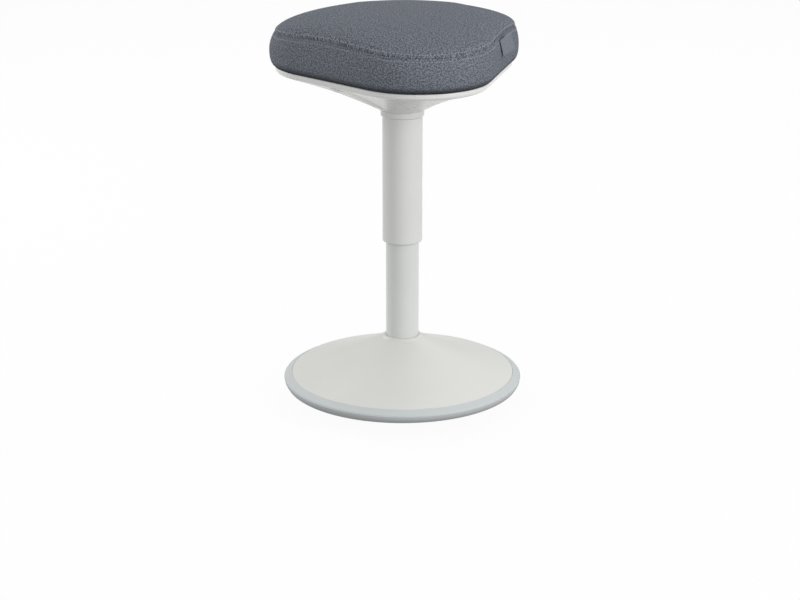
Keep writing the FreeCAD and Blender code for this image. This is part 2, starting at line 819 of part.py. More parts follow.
def make_valve_pin():
    body = new_body("valve_pin")
    top = S.cylinder_top + S.valve_stand
    low = top - S.valve_length
    collar = S.cylinder_top - S.cap_thickness - S.valve_stand
    collar_radius = S.valve_radius + S.valve_collar_step
    turn_profile(body, "pin", [
        (0, low), (collar_radius, low), (collar_radius, collar), (S.valve_radius, collar),
        (S.valve_radius, top - S.edge_ease), (S.valve_radius - S.edge_ease, top), (0, top)])


def make_column_sleeve():
    body = new_body("column_sleeve")
    inner = S.sleeve_radius - S.sleeve_wall
    lip = S.tube_radius + S.fit_gap
    collar_low = S.neck_height - S.sleeve_collar_height
    top = S.neck_height + S.sleeve_spigot
    spigot = S.sleeve_radius - S.fit_gap / 3
    turn_profile(body, "sleeve", [
        (lip, S.sleeve_bottom), (S.sleeve_radius - S.sleeve_edge, S.sleeve_bottom, S.sleeve_edge, 1),
        (S.sleeve_radius, S.sleeve_bottom + S.sleeve_edge), (S.sleeve_radius, collar_low),
        (S.sleeve_collar_radius, collar_low + 2), (S.sleeve_collar_radius, S.neck_height),
        (spigot, S.neck_height), (spigot, top), (inner, top),
        (inner, S.sleeve_bottom + S.sleeve_lip), (lip, S.sleeve_bottom + S.sleeve_lip)])


# Seat structure

pan_shoulder_height = S.board_height - S.pan_flange - S.pan_shoulder_drop
pan_shoulder_side = S.pan_side - S.pan_step - S.pan_shoulder_inset
pan_shoulder_corner = S.pan_corner - S.pan_step - S.pan_shoulder_inset
pan_middle_height = (S.neck_height + pan_shoulder_height) / 2 + S.pan_flare
pan_middle_side = (S.sleeve_collar_radius + pan_shoulder_side) / 2
pan_middle_corner = (S.sleeve_collar_radius + pan_shoulder_corner) / 2
LEVER_SIDE = -60.0
# Screws that hold the pan: (direction of the first, how many, sweep between first and last).
# Two sit at the rear corners and one at the rear flat, out of sight from the front.
PAN_SCREWS = ((120.0, 2, 120.0), (180.0, 1, 0.0))


def at_pan_screws(body, name, features_at):
    """Makes what features_at(x, y, tag) gives at each of the pan's screws."""
    for number, (direction, count, sweep) in enumerate(PAN_SCREWS, start=1):
        tag = "%s_%d" % (name, number)
        x, y = along_and_across(S.pan_screw_circle, 0.0, direction)
        features = features_at(x, y, tag)
        body.Tip = features[-1]
        if count > 1:
            ring_of(body, tag + "_pair", features, count, sweep)


def pan_cone(radius):
    """Height of the pan's flared cone at a radius, measured square to a flat side."""
    share = (Size.of(radius) - S.sleeve_collar_radius) / (pan_shoulder_side - S.sleeve_collar_radius)
    straight = S.neck_height + (pan_shoulder_height - S.neck_height) * share
    return straight + S.pan_flare * 4 * share * (1 - share)


def make_seat_pan():
    body = new_body("seat_pan", S.seat_turn)
    flange_low = S.board_height - S.pan_flange
    step_side = S.pan_side - S.pan_step
    step_corner = S.pan_corner - S.pan_step
    waist = S.pan_shoulder_inset * 0.18
    loft(body, "cone", [
        (S.neck_height, circle_outline(S.sleeve_collar_radius)),
        (pan_middle_height, triangle_outline(pan_middle_side, pan_middle_corner)),
        (pan_shoulder_height, triangle_outline(pan_shoulder_side, pan_shoulder_corner))])
    loft(body, "shoulder", [
        (pan_shoulder_height, triangle_outline(pan_shoulder_side, pan_shoulder_corner)),
        (pan_shoulder_height + S.pan_shoulder_drop * 0.55,
         triangle_outline(step_side - waist, step_corner - waist)),
        (flange_low, triangle_outline(step_side, step_corner))])
    loft(body, "flange", [
        (flange_low, triangle_outline(S.pan_side - 0.8, S.pan_corner - 0.8)),
        (flange_low + 0.8, triangle_outline(S.pan_side, S.pan_corner)),
        (S.board_height, triangle_outline(S.pan_side, S.pan_corner))], ruled=True)
    bore = S.sleeve_radius
    rise = S.pan_wall * 1.1
    loft(body, "hollow", [
        (S.neck_height + rise + 3, circle_outline(bore + 1)),
        (pan_middle_height + rise, triangle_outline(pan_middle_side - 1, pan_middle_corner - 1)),
        (pan_shoulder_height + rise, triangle_outline(pan_shoulder_side - 1, pan_shoulder_corner - 1))],
         cut=True)
    loft(body, "well", [
        (pan_shoulder_height + rise, triangle_outline(pan_shoulder_side - 1, pan_shoulder_corner - 1)),
        (S.board_height, triangle_outline(S.board_side + S.fit_gap, S.board_corner + S.fit_gap))],
         ruled=True, cut=True)
    neck = draw_circle(new_sketch(body, "neck_circle", height=S.neck_height), 0, 0, bore)
    pocket(body, "neck_bore", neck, S.sleeve_spigot + 4, up=True)
    recess_top = S.board_height - S.pan_flange - S.pan_wall

    def boss_with_hole(x, y, tag):
        boss = draw_circle(new_sketch(body, tag + "_circle", height=S.board_height), x, y, S.pan_boss_radius)
        hole = draw_circle(new_sketch(body, tag + "_hole_circle", height=S.board_height), x, y,
                           S.screw_radius * SMALL_SHANK)
        recess = draw_circle(new_sketch(body, tag + "_recess_circle", height=recess_top), x, y,
                             S.screw_head_radius * SMALL_HEAD + S.fit_gap)
        return [pad(body, tag, boss, up_to_first=True, down=True),
                pocket(body, tag + "_hole", hole, S.board_height - S.neck_height),
                pocket(body, tag + "_recess", recess, S.board_height - S.neck_height)]

    at_pan_screws(body, "boss", boss_with_hole)
    inner, outer = S.lever_inner - S.slot_gap, S.lever_outer + S.lever_nub_radius + S.slot_gap
    inner_half = S.lever_inner_width / 2 + S.slot_gap
    outer_half = S.lever_outer_width / 2 + S.slot_gap
    tip_half = outer_half * 0.6
    slot = new_sketch(body, "lever_slot", height=S.neck_height)
    draw_outline(slot, [
        along_and_across(inner, inner_half, LEVER_SIDE), along_and_across(inner, -inner_half, LEVER_SIDE),
        along_and_across(outer - S.lever_nub_radius * 2, -outer_half, LEVER_SIDE),
        along_and_across(outer, -tip_half, LEVER_SIDE), along_and_across(outer, tip_half, LEVER_SIDE),
        along_and_across(outer - S.lever_nub_radius * 2, outer_half, LEVER_SIDE)])
    body.Tip = pocket(body, "slot", slot, S.board_height - S.neck_height, up=True)


def make_pan_screws():
    body = new_body("pan_screws", S.seat_turn)
    seat = S.board_height - S.pan_flange - S.pan_wall

    def screw(x, y, tag):
        head = draw_circle(new_sketch(body, tag + "_head_circle", height=seat), x, y,
                           S.screw_head_radius * SMALL_HEAD)
        shank = draw_circle(new_sketch(body, tag + "_shank_circle", height=seat), x, y,
                            S.screw_radius * SMALL_SHANK)
        return [pad(body, tag + "_head", head, S.screw_head_height * SMALL_HEAD, down=True),
                pad(body, tag + "_shank", shank, S.board_height + S.board_thickness * BITE_DEPTH - seat)]

    at_pan_screws(body, "screw", screw)


def square_corners(half, corner):
    """A square with cut corners, as (x, y) points."""
    inner = half - corner
    return [(half, -inner), (half, inner), (inner, half), (-inner, half),
            (-half, inner), (-half, -inner), (-inner, -half), (inner, -half)]


def make_seat_board():
    body = new_body("seat_board", S.seat_turn)
    loft(body, "panel", [
        (S.board_height, triangle_outline(S.board_side, S.board_corner)),
        (S.board_height + S.board_thickness, triangle_outline(S.board_side, S.board_corner))], ruled=True)
    x = S.plate_screw_offset
    nut = draw_circle(new_sketch(body, "nut_circle", height=S.board_height), x, x, S.screw_radius + 1)
    nut_cut = pocket(body, "nut_hole", nut, S.board_thickness, up=True)
    ring_of(body, "nut_holes", [nut_cut], 4)

    def bite(x, y, tag):
        hole = draw_circle(new_sketch(body, tag + "_circle", height=S.board_height), x, y,
                           S.screw_radius * SMALL_SHANK)
        return [pocket(body, tag, hole, S.board_thickness * BITE_DEPTH, up=True)]

    at_pan_screws(body, "bite", bite)


def make_t_nuts():
    body = new_body("t_nuts", S.seat_turn)
    top = S.board_height + S.board_thickness
    x = S.plate_screw_offset
    barrel = new_sketch(body, "barrel_circle", height=top)
    draw_circle(barrel, x, x, S.screw_radius + 1)
    draw_circle(barrel, x, x, S.screw_radius)
    barrels = pad(body, "barrel", barrel, S.board_thickness * 0.7, down=True)
    flange = new_sketch(body, "flange_circle", height=top)
    draw_circle(flange, x, x, S.screw_radius * 3)
    draw_circle(flange, x, x, S.screw_radius)
    flanges = pad(body, "flange", flange, 1.2)
    ring_of(body, "nuts", [barrels, flanges], 4)


def make_plate_screws():
    body = new_body("plate_screws", S.seat_turn)
    low = S.board_height - S.plate_thickness
    x = S.plate_screw_offset
    head = draw_circle(new_sketch(body, "head_circle", height=low), x, x, S.screw_head_radius)
    heads = pad(body, "head", head, S.screw_head_height, down=True)
    shank = draw_circle(new_sketch(body, "shank_circle", height=low), x, x, S.screw_radius)
    shanks = pad(body, "shank", shank, S.plate_thickness + S.board_thickness)
    ring_of(body, "screws", [heads, shanks], 4)


def make_seat_plate():
    body = new_body("seat_plate", S.seat_turn)
    low = S.board_height - S.plate_thickness
    plan = new_sketch(body, "plate_outline", height=low)
    draw_outline(plan, square_corners(S.plate_half, S.plate_corner))
    pad(body, "plate", plan, S.plate_thickness)
    bore = draw_circle(new_sketch(body, "bore_circle", height=S.board_height), 0, 0, S.plate_bore)
    pocket(body, "bore", bore, S.plate_thickness)
    x = S.plate_screw_offset
    hole = draw_circle(new_sketch(body, "hole_circle", height=S.board_height), x, x, S.screw_radius)
    ring_of(body, "holes", [pocket(body, "hole", hole, S.plate_thickness)], 4)
    bead = new_sketch(body, "bead_outline", height=S.board_height)
    half = S.bead_width / 2
    draw_outline(bead, [
        (S.hub_radius + 6, -half), (S.plate_half - 10, -half, half * 1.1, 1), (S.plate_half - 10, half),
        (S.hub_radius + 6, half, half * 1.1, 1)])
    ring_of(body, "beads", [pocket(body, "bead", bead, S.bead_depth)], 4)


def make_taper_hub():
    body = new_body("taper_hub", S.seat_turn)
    top = S.board_height - S.plate_thickness
    tip = S.cylinder_radius - S.cylinder_taper
    turn_profile(body, "hub", [
        (S.cylinder_radius, S.cylinder_shoulder), (S.hub_radius - S.edge_ease, S.cylinder_shoulder),
        (S.hub_radius, S.cylinder_shoulder + S.edge_ease), (S.hub_radius, top), (tip, top),
        (tip, S.cylinder_top - S.edge_ease)])
    window = new_sketch(body, "window_outline", height=S.cylinder_top + 1)
    half = S.hub_window / 2
    reach = S.hub_radius + 2
    draw_outline(window, [
        along_and_across(0.0, half, LEVER_SIDE), along_and_across(0.0, -half, LEVER_SIDE),
        along_and_across(reach, -half, LEVER_SIDE), along_and_across(reach, half, LEVER_SIDE)])
    body.Tip = pocket(body, "window", window, top - S.cylinder_top, up=True)


# Release lever: drawn in its own upright plane, then turned under the seat's flat side

lever_turn = S.seat_turn + LEVER_SIDE


def make_lever_bracket():
    body = new_body("lever_bracket", lever_turn)
    top = S.board_height - S.plate_thickness
    half = S.lever_arm_width / 2 + S.fit_gap
    outer = half + S.bracket_wall
    inner_x = S.lever_pivot_radius - S.bracket_length / 2
    outer_x = S.lever_pivot_radius + S.bracket_length / 2
    plan = new_sketch(body, "saddle_outline", height=top)
    draw_outline(plan, [(inner_x, -outer), (outer_x, -outer), (outer_x, outer), (inner_x, outer)])
    pad(body, "saddle", plan, top - S.lever_pivot_height + S.lever_barrel_radius, down=True)
    gap = new_sketch(body, "gap_outline", height=top - S.bracket_wall / 2)
    draw_outline(gap, [(inner_x - 1, -half), (outer_x + 1, -half), (outer_x + 1, half), (inner_x - 1, half)])
    pocket(body, "gap", gap, top)
    eye = new_sketch(body, "eye_circle", "XZ_Plane")
    draw_circle(eye, S.lever_pivot_radius, S.lever_pivot_height, S.lever_pin_radius)
    body.Tip = pocket(body, "eye", eye, outer * 3, both_ways=True)


def make_lever_pin():
    body = new_body("lever_pin", lever_turn)
    pin = new_sketch(body, "pin_circle", "XZ_Plane")
    draw_circle(pin, S.lever_pivot_radius, S.lever_pivot_height, S.lever_pin_radius)
    shaft = pad(body, "pin", pin, S.lever_pin_length)
    shaft.Midplane = True


def make_release_lever():
    body = new_body("release_lever", lever_turn)
    inner, outer = S.lever_inner, S.lever_outer
    proud = S.lever_proud
    blade = new_sketch(body, "blade_section", "XZ_Plane")
    middle = (inner + outer) / 2
    draw_outline(blade, [
        (inner, pan_cone(inner)), (middle, pan_cone(middle) - proud),
        (outer - 4, pan_cone(outer - 4) - proud),
        (outer, pan_cone(outer) - proud - 2, S.lever_nub_radius, 1),
        (outer + S.lever_nub_radius, pan_cone(outer) + 1.5, S.lever_nub_radius, 1),
        (outer + 1, pan_cone(outer) + S.lever_thickness + 1.6),
        (outer - 4, pan_cone(outer - 4) + S.lever_thickness - proud),
        (middle, pan_cone(middle) + S.lever_thickness - proud), (inner, pan_cone(inner) + S.lever_thickness)])
    wide = pad(body, "blade", blade, S.lever_outer_width)
    wide.Midplane = True
    trim = new_sketch(body, "blade_plan", height=S.board_height)
    far, wing = outer + S.lever_nub_radius * 2, S.lever_outer_width
    inner_half, outer_half = S.lever_inner_width / 2, S.lever_outer_width / 2
    nub_half = outer_half * 0.5
    shoulder = outer - S.lever_nub_radius
    for side in (1.0, -1.0):
        draw_outline(trim, [
            (inner - 2, inner_half * side), (shoulder, outer_half * side),
            (outer + S.lever_nub_radius + 0.2, nub_half * side), (far, nub_half * side),
            (far, wing * side), (inner - 2, wing * side)])
    pocket(body, "blade_sides", trim, S.board_height - S.neck_height)
    arm = new_sketch(body, "arm_section", "XZ_Plane")
    pivot, height = S.lever_pivot_radius, S.lever_pivot_height
    top = height + S.lever_arm_thickness / 2
    tip_low = S.cylinder_top + S.valve_stand + S.free_gap
    root = inner + S.lever_arm_root
    draw_outline(arm, [
        (inner + 1, pan_cone(inner + 1) + S.lever_thickness - 1.5),
        (root, pan_cone(root) + S.lever_thickness - 2.4),
        (pivot + S.lever_barrel_radius, height), (pivot + 4, height + 3.6), (pivot, top + 1),
        (5.0, top), (-5.0, top - 1), (-5.0, tip_low), (8.0, tip_low), (pivot - 6, height - 3),
        (pivot - 1, height - S.lever_barrel_radius)])
    web = pad(body, "arm", arm, S.lever_arm_width)
    web.Midplane = True
    eye = new_sketch(body, "eye_circle", "XZ_Plane")
    draw_circle(eye, pivot, height, S.lever_pin_radius + S.running_gap)
    body.Tip = pocket(body, "eye", eye, S.lever_outer_width * 2, both_ways=True)


# Cushion: foam block, side and top cover panels, all from the same sections

CROWN_FULLNESS = 2.5
CROWN_EDGE = 0.42
CORNER_FADE = 1.6
CROWN_SHOULDER = (0.075, 0.25, 0.42, 0.6, 0.75)
CROWN_DOME = (0.75, 0.9, 0.97, 0.995)
ROLL_STEPS = (1.0, 0.75, 0.45, 0.1)
SIDE_STEPS = (0.3, 0.6, 0.9)


def side_section(rise, inset):
    """The cushion's side: rise is -1 at its foot, 0 where it is widest, 1 at the seam."""
    if rise < 0:
        pull = 1 - math.sqrt(1 - rise * rise)
        height = S.widest_height + (S.widest_height - S.board_height) * rise
        side = S.widest_side - (S.widest_side - S.foot_side) * pull
        corner = S.widest_corner - (S.widest_corner - S.foot_corner) * pull
    else:
        height = S.widest_height + (S.seam_height - S.widest_height) * rise
        side = S.widest_side - (S.widest_side - S.seam_side) * (rise * rise)
        corner = S.widest_corner - (S.widest_corner - S.seam_corner) * (rise * rise)
    return height, triangle_outline(side - inset, corner - inset)


def crown_section(rise, inset):
    """The crown above the seam: rise is 0 at the seam and 1 at its top."""
    spread = (1 - rise ** CROWN_FULLNESS) ** CROWN_EDGE
    reach = 1 - rise ** CORNER_FADE
    side = (S.seam_side - inset) * spread
    corner = side + (S.seam_corner - S.seam_side) * reach
    height = S.seam_height + (S.crown_height - S.seam_height - inset) * rise
    return height, triangle_outline(side, corner)


def seam_section(inset):
    """The bottom of the stitched groove that parts the side from the crown."""
    pull = S.seam_groove + inset
    return S.seam_height, triangle_outline(S.seam_side - pull, S.seam_corner - pull)


def loft_side(body, name, inset, cut=False):
    steps = [-fall for fall in ROLL_STEPS] + list(SIDE_STEPS)
    loft(body, name, [side_section(step, inset) for step in steps], cut=cut)
    loft(body, name + "_lip", [side_section(steps[-1], inset), seam_section(inset)], ruled=True, cut=cut)


def loft_crown(body, name, inset, cut=False):
    lip = [seam_section(inset), crown_section(CROWN_SHOULDER[0], inset)]
    loft(body, name + "_lip", lip, ruled=True, cut=cut)
    loft(body, name + "_shoulder", [crown_section(step, inset) for step in CROWN_SHOULDER], cut=cut)
    loft(body, name + "_dome", [crown_section(step, inset) for step in CROWN_DOME], cut=cut)


def make_cover_side():
    body = new_body("cover_side", S.seat_turn)
    loft_side(body, "outside", 0.0)
    loft_side(body, "inside", S.cover_thickness, cut=True)


def make_cover_top():
    body = new_body("cover_top", S.seat_turn)
    loft_crown(body, "outside", 0.0)
    loft_crown(body, "inside", S.cover_thickness, cut=True)


def make_seat_foam():
    body = new_body("seat_foam", S.seat_turn)
    inset = S.cover_thickness + S.fit_gap / 2
    loft_side(body, "block", inset)
    loft_crown(body, "crown", inset)
    well = new_sketch(body, "board_well", height=S.board_height)
    draw_outline(well, triangle_outline(S.board_side + S.fit_gap, S.board_corner + S.fit_gap))
    body.Tip = pocket(body, "well", well, S.board_thickness + 1.5, up=True)


def make_label_tag():
    """A folded woven label, sewn into an upright seam at its near edge."""
    body = new_body("label_tag", S.tag_turn)
    plan = new_sketch(body, "tag_section", "XZ_Plane")
    top = S.seam_height + S.tag_rise
    foot = top - S.tag_height
    high, low = S.seam_side + S.tag_top_stand, S.widest_side + S.tag_foot_stand
    thin = S.tag_thickness
    draw_outline(plan, [(high, top), (low, foot), (low + thin, foot), (high + thin, top)])
    label = pad(body, "tag", plan, S.tag_width)
    slide = S.tag_aside + S.tag_width
    plan.AttachmentOffset = FreeCAD.Placement(FreeCAD.Vector(0, 0, -slide.value), FreeCAD.Rotation())
    plan.setExpression(".AttachmentOffset.Base.z", (-slide).text)
    body.Tip = label


def build():
    make_sole_pad()
    make_base_shell()
    make_rim_ring()
    make_base_cover()
    make_base_screws()
    make_weight_plate()
    make_column_socket()
    make_socket_bolts()
    make_stand_tube()
    make_guide_bush()
    make_washer("bearing_lower_washer", foot_top, S.rod_neck_radius + S.free_gap * 2)
    make_bearing_balls()
    make_ball_cage()
    make_washer("bearing_upper_washer", ball_top, washer_bore)
    make_washer("retaining_washer", foot_low - S.free_gap - S.washer_thickness, washer_bore)
    make_piston_rod()
    make_rod_clip()
    make_rubber_damper()
    make_piston()
    make_piston_seal()
    make_gas_cylinder()
    make_cylinder_gland()
    make_valve_pin()
    make_column_sleeve()
    make_seat_pan()
    make_pan_screws()
    make_seat_board()
    make_t_nuts()
    make_plate_screws()
    make_seat_plate()
    make_taper_hub()
    make_lever_bracket()
    make_lever_pin()
    make_release_lever()
    make_seat_foam()
    make_cover_side()
    make_cover_top()
    make_label_tag()


def check():
    faults = []
    for item in doc.Objects:
        if any(state in ("Invalid", "Error") for state in item.State):
            faults.append("%s is %s" % (item.FullName, ", ".join(item.State)))
    for body in nodes:
        if body.Shape.isNull() or not body.Shape.isValid():
            faults.append("%s has no valid shape" % body.Label)
    if faults:
        raise RuntimeError("; ".join(faults))


build()
doc.recompute()
check()
os.makedirs("parts", exist_ok=True)
for body in nodes:
    body.Shape.exportStep("parts/%s.step" % body.Label)
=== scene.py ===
"""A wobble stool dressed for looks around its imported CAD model.

The stool stands on the flat middle of its rounded sole, with the column upright on Z.
The seat is a rounded triangle whose front corner points along SEAT_TURN.
"""
import json
import logging
import math
from dataclasses import dataclass
from enum import Enum
from typing import Callable, Sequence

import bmesh
import bpy
import numpy as np
from mathutils import Matrix, Vector


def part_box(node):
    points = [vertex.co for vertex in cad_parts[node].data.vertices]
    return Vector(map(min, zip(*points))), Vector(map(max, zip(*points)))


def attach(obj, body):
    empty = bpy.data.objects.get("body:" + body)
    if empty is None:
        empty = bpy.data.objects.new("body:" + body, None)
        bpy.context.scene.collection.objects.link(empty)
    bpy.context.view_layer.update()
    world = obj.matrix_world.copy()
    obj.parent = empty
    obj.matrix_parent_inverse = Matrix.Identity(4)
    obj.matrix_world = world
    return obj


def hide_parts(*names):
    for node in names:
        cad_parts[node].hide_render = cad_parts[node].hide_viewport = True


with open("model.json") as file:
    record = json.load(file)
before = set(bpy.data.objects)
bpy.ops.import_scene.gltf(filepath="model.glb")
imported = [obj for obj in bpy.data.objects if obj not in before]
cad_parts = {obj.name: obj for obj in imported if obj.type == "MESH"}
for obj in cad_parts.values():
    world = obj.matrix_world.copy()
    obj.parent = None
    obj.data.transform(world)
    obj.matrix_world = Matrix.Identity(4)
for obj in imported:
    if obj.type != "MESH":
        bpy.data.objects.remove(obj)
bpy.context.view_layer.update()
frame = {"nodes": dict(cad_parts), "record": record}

MM = 0.001
SEAT_TURN = math.radians(285.0)
LEVER_TURN = math.radians(225.0)
LABEL_TURN = math.radians(330.0)
THIRD = math.tau / 3
NEARLY_ZERO = 1e-9
WELD = 1e-6
FINE_WELD = 1e-7

log = logging.getLogger("wobble_stool")

Array = np.ndarray
Colour = tuple[float, float, float]
Point = tuple[float, float]


# Plan shapes and meshes

def reach(direction: Array, side: float, corner: float) -> Array:
    """Distance from the column's axis to a rounded triangle.

    Args:
        direction: angles from the front corner, in radians.
        side: distance from the axis to the straight flats.
        corner: distance from the axis to the tips of the round corners.
    Returns:
        One distance for each direction. A side equal to the corner gives a circle.
    """
    turn = np.abs((direction + THIRD / 2) % THIRD - THIRD / 2)
    centre = 2 * (corner - side)
    bend = 2 * side - corner
    half = THIRD / 2
    arc_end = math.atan2(bend * math.sin(half), centre + bend * math.cos(half))
    flat = side / np.cos(half - turn)
    arc = centre * np.cos(turn) + np.sqrt(np.maximum(bend ** 2 - (centre * np.sin(turn)) ** 2, 0.0))
    return np.where(turn <= arc_end, arc, flat)


@dataclass(frozen=True)
class Key:
    """One corner of a section: its height, its plan and how far it is rounded, in millimetres."""

    height: float
    side: float
    corner: float = 0.0
    fillet: float = 0.0

    def radii(self, directions: Array) -> Array:
        """The plan's distances; a plan with no corner reach is a circle."""
        return reach(directions, self.side, self.corner or self.side)


def rounded(rings: list[Array], fillets: Sequence[float], steps: int,
            closed: bool) -> list[Array]:
    """Rounds the corners of a run of rings.

    Args:
        rings: arrays that hold a height and then the radii of one ring.
        fillets: how far from each ring its rounding starts.
        steps: how many faces a rounding has.
        closed: whether the run joins its own start.
    Returns:
        The rings with each rounded corner replaced by several.
    """
    most, guard, guard_most = 0.45, 1.3, 0.49
    out: list[Array] = []
    count = len(rings)
    for index, (ring, fillet) in enumerate(zip(rings, fillets)):
        ends = not closed and index in (0, count - 1)
        if fillet <= 0 or ends:
            out.append(ring)
            continue
        before, after = rings[index - 1], rings[(index + 1) % count]
        shares = []
        for other in (before, after):
            length = math.hypot(other[0] - ring[0], float(np.mean(other[1:] - ring[1:])))
            shares.append(min(fillet / max(length, NEARLY_ZERO), most))
        start = ring + (before - ring) * shares[0]
        stop = ring + (after - ring) * shares[1]
        out.append(ring + (before - ring) * min(shares[0] * guard, guard_most))
        for step in range(steps + 1):
            share = step / steps
            out.append(start * (1 - share) ** 2 + ring * 2 * share * (1 - share) + stop * share ** 2)
        out.append(ring + (after - ring) * min(shares[1] * guard, guard_most))
    return out


def link(name: str, mesh: bpy.types.Mesh) -> bpy.types.Object:
    """Puts a mesh in the scene as an object at the origin."""
    piece = bpy.data.objects.new(name, mesh)
    bpy.context.scene.collection.objects.link(piece)
    return piece


def smooth(piece: bpy.types.Object, sharp_from: float = 40.0) -> bpy.types.Object:
    """Shades a piece smooth, apart from edges that turn by more than sharp_from degrees.

    Args:
        piece: the piece.
        sharp_from: the smallest turn, in degrees, that stays a sharp edge.
    Returns:
        The same piece.
    """
    mesh = piece.data
    mesh.polygons.foreach_set("use_smooth", [True] * len(mesh.polygons))
    mesh.set_sharp_from_angle(angle=math.radians(sharp_from))
    mesh.update()
    return piece


def mend(mesh: bpy.types.Mesh, weld: float = 0.0, outward: bool = False) -> None:
    """Merges a mesh's doubled points and turns its faces outwards.

    Args:
        mesh: the mesh to change.
        weld: points closer than this, in metres, become one.
        outward: whether the faces are turned to point outwards.
    """
    body = bmesh.new()
    body.from_mesh(mesh)
    if weld:
        bmesh.ops.remove_doubles(body, verts=body.verts, dist=weld)
    if outward:
        bmesh.ops.recalc_face_normals(body, faces=body.faces)
    body.to_mesh(mesh)
    body.free()


def weave_rings(name: str, points: Array, closed: bool = False) -> bpy.types.Object:
    """Makes a mesh of quads from rings of points.

    Args:
        name: the piece's name.
        points: an array of rings by points by three, in metres, wound so that faces point outwards.
        closed: whether the last ring joins the first, as on a hollow section. Open ends are filled.
    Returns:
        The new object.
    """
    rings, around = points.shape[:2]
    verts = [tuple(p) for p in points.reshape(-1, 3)]
    faces: list[tuple[int, ...]] = []
    for ring in range(rings if closed else rings - 1):
        low, high = ring * around, ((ring + 1) % rings) * around
        for step in range(around):
            after = (step + 1) % around
            faces.append((low + step, low + after, high + after, high + step))
    if not closed:
        for ring, flip in ((0, True), (rings - 1, False)):
            middle = len(verts)
            verts.append(tuple(points[ring].mean(axis=0)))
            for step in range(around):
                pair = (ring * around + step, ring * around + (step + 1) % around)
                faces.append((middle, pair[1], pair[0]) if flip else (middle, pair[0], pair[1]))
    mesh = bpy.data.meshes.new(name)
    mesh.from_pydata(verts, [], faces)
    mend(mesh, WELD)
    return link(name, mesh)


def hoop(name: str, keys: Sequence[Key], around: int = 192, turn: float = 0.0, closed: bool = True,
         steps: int = 5) -> bpy.types.Object:
    """Makes a turned or rounded-triangle shell from the corners of its section.

    Args:
        name: the piece's name.
        keys: the section's corners, up the outside first.
        around: how many points each ring has.
        turn: the world angle of the plan's front corner.
        closed: whether the section is a closed loop.
        steps: faces in each rounding.
    Returns:
        The new object, shaded smooth.
    """
    local = np.arange(around) * math.tau / around
    rings = [np.concatenate(([key.height], key.radii(local))) for key in keys]
    rings = rounded(rings, [key.fillet for key in keys], steps, closed)
    world = local + turn
    points = np.zeros((len(rings), around, 3))
    for index, ring in enumerate(rings):
        points[index, :, 0] = ring[1:] * np.cos(world) * MM
        points[index, :, 1] = ring[1:] * np.sin(world) * MM
        points[index, :, 2] = ring[0] * MM
    return smooth(weave_rings(name, points, closed))


def arc(start: Point, stop: Point, bend: float, steps: int) -> list[Point]:
    """Points of a shallow arc between two points of a section, both ends included.

    Args:
        start: the first (radius, height).
        stop: the last (radius, height).
        bend: how far the middle stands off the straight line, to its left.
        steps: how many parts the arc has.
    Returns:
        The points, evenly spread.
    """
    start_at, stop_at = np.array(start), np.array(stop)
    along = stop_at - start_at
    aside = np.array((-along[1], along[0])) / np.hypot(*along)
    return [tuple(start_at + along * share + aside * bend * 4 * share * (1 - share))
            for share in np.linspace(0, 1, steps + 1)]


def disc_points(radius: float, centre: Point = (0.0, 0.0), count: int = 24) -> list[Point]:
    """Points of a circle."""
    return [(centre[0] + radius * math.cos(turn), centre[1] + radius * math.sin(turn))
            for turn in np.linspace(0, math.tau, count, endpoint=False)]


def at_angles(radius: float, height: float, degrees: Sequence[float]) -> Array:
    """Places on a circle about the column's axis.

    Args:
        radius: the circle's radius, in millimetres.
        height: its height, in metres.
        degrees: the world angle of each place.
    Returns:
        The places, in metres.
    """
    turns = np.radians(np.array(degrees))
    x, y = radius * MM * np.cos(turns), radius * MM * np.sin(turns)
    return np.column_stack((x, y, np.full(len(turns), height)))


def plate(name: str, outlines: Sequence[Sequence[Point]], thickness: float, edge: float,
          place: Matrix) -> bpy.types.Object:
    """Makes a flat plate with holes and eased edges.

    Args:
        name: the piece's name.
        outlines: the outer outline and then the holes, in millimetres.
        thickness: the plate's whole thickness.
        edge: how far its edges are eased.
        place: where the plate's middle plane goes, in millimetres.
    Returns:
        The new object.
    """
    curve = bpy.data.curves.new(name, "CURVE")
    curve.dimensions = "2D"
    curve.fill_mode = "BOTH"
    curve.extrude = thickness / 2 - edge
    curve.bevel_depth = edge
    curve.bevel_resolution = 2
    curve.offset = -edge
    for outline in outlines:
        spline = curve.splines.new("POLY")
        spline.points.add(len(outline) - 1)
        for point, (x, y) in zip(spline.points, outline):
            point.co = (x, y, 0.0, 1.0)
        spline.use_cyclic_u = True
    holder = bpy.data.objects.new(name, curve)
    bpy.context.scene.collection.objects.link(holder)
    bpy.context.view_layer.update()
    mesh = bpy.data.meshes.new_from_object(holder)
    bpy.data.objects.remove(holder)
    mesh.transform(Matrix.Scale(MM, 4) @ place)
    mend(mesh, FINE_WELD, outward=True)
    return smooth(link(name, mesh))


def join(name: str, pieces: Sequence[bpy.types.Object]) -> bpy.types.Object:
    """Joins several meshes into one object, which keeps the name given.

    Args:
        name: the new object's name.
        pieces: the pieces, which are used up.
    Returns:
        The new object.
    """
    body = bmesh.new()
    for piece in pieces:
        body.from_mesh(piece.data)
    mesh = bpy.data.meshes.new(name)
    body.to_mesh(mesh)
    body.free()
    for piece in pieces:
        bpy.data.objects.remove(piece)
    return smooth(link(name, mesh))


def applied(piece: bpy.types.Object) -> bpy.types.Object:
    """Turns a piece's modifiers into its mesh.

    Args:
        piece: an object with live modifiers.
    Returns:
        The same object with plain geometry.
    """
    bpy.context.view_layer.update()
    depsgraph = bpy.context.evaluated_depsgraph_get()
    mesh = bpy.data.meshes.new_from_object(
        piece.evaluated_get(depsgraph), preserve_all_data_layers=True, depsgraph=depsgraph)
    piece.modifiers.clear()
    piece.data = mesh
    return piece


# Node trees

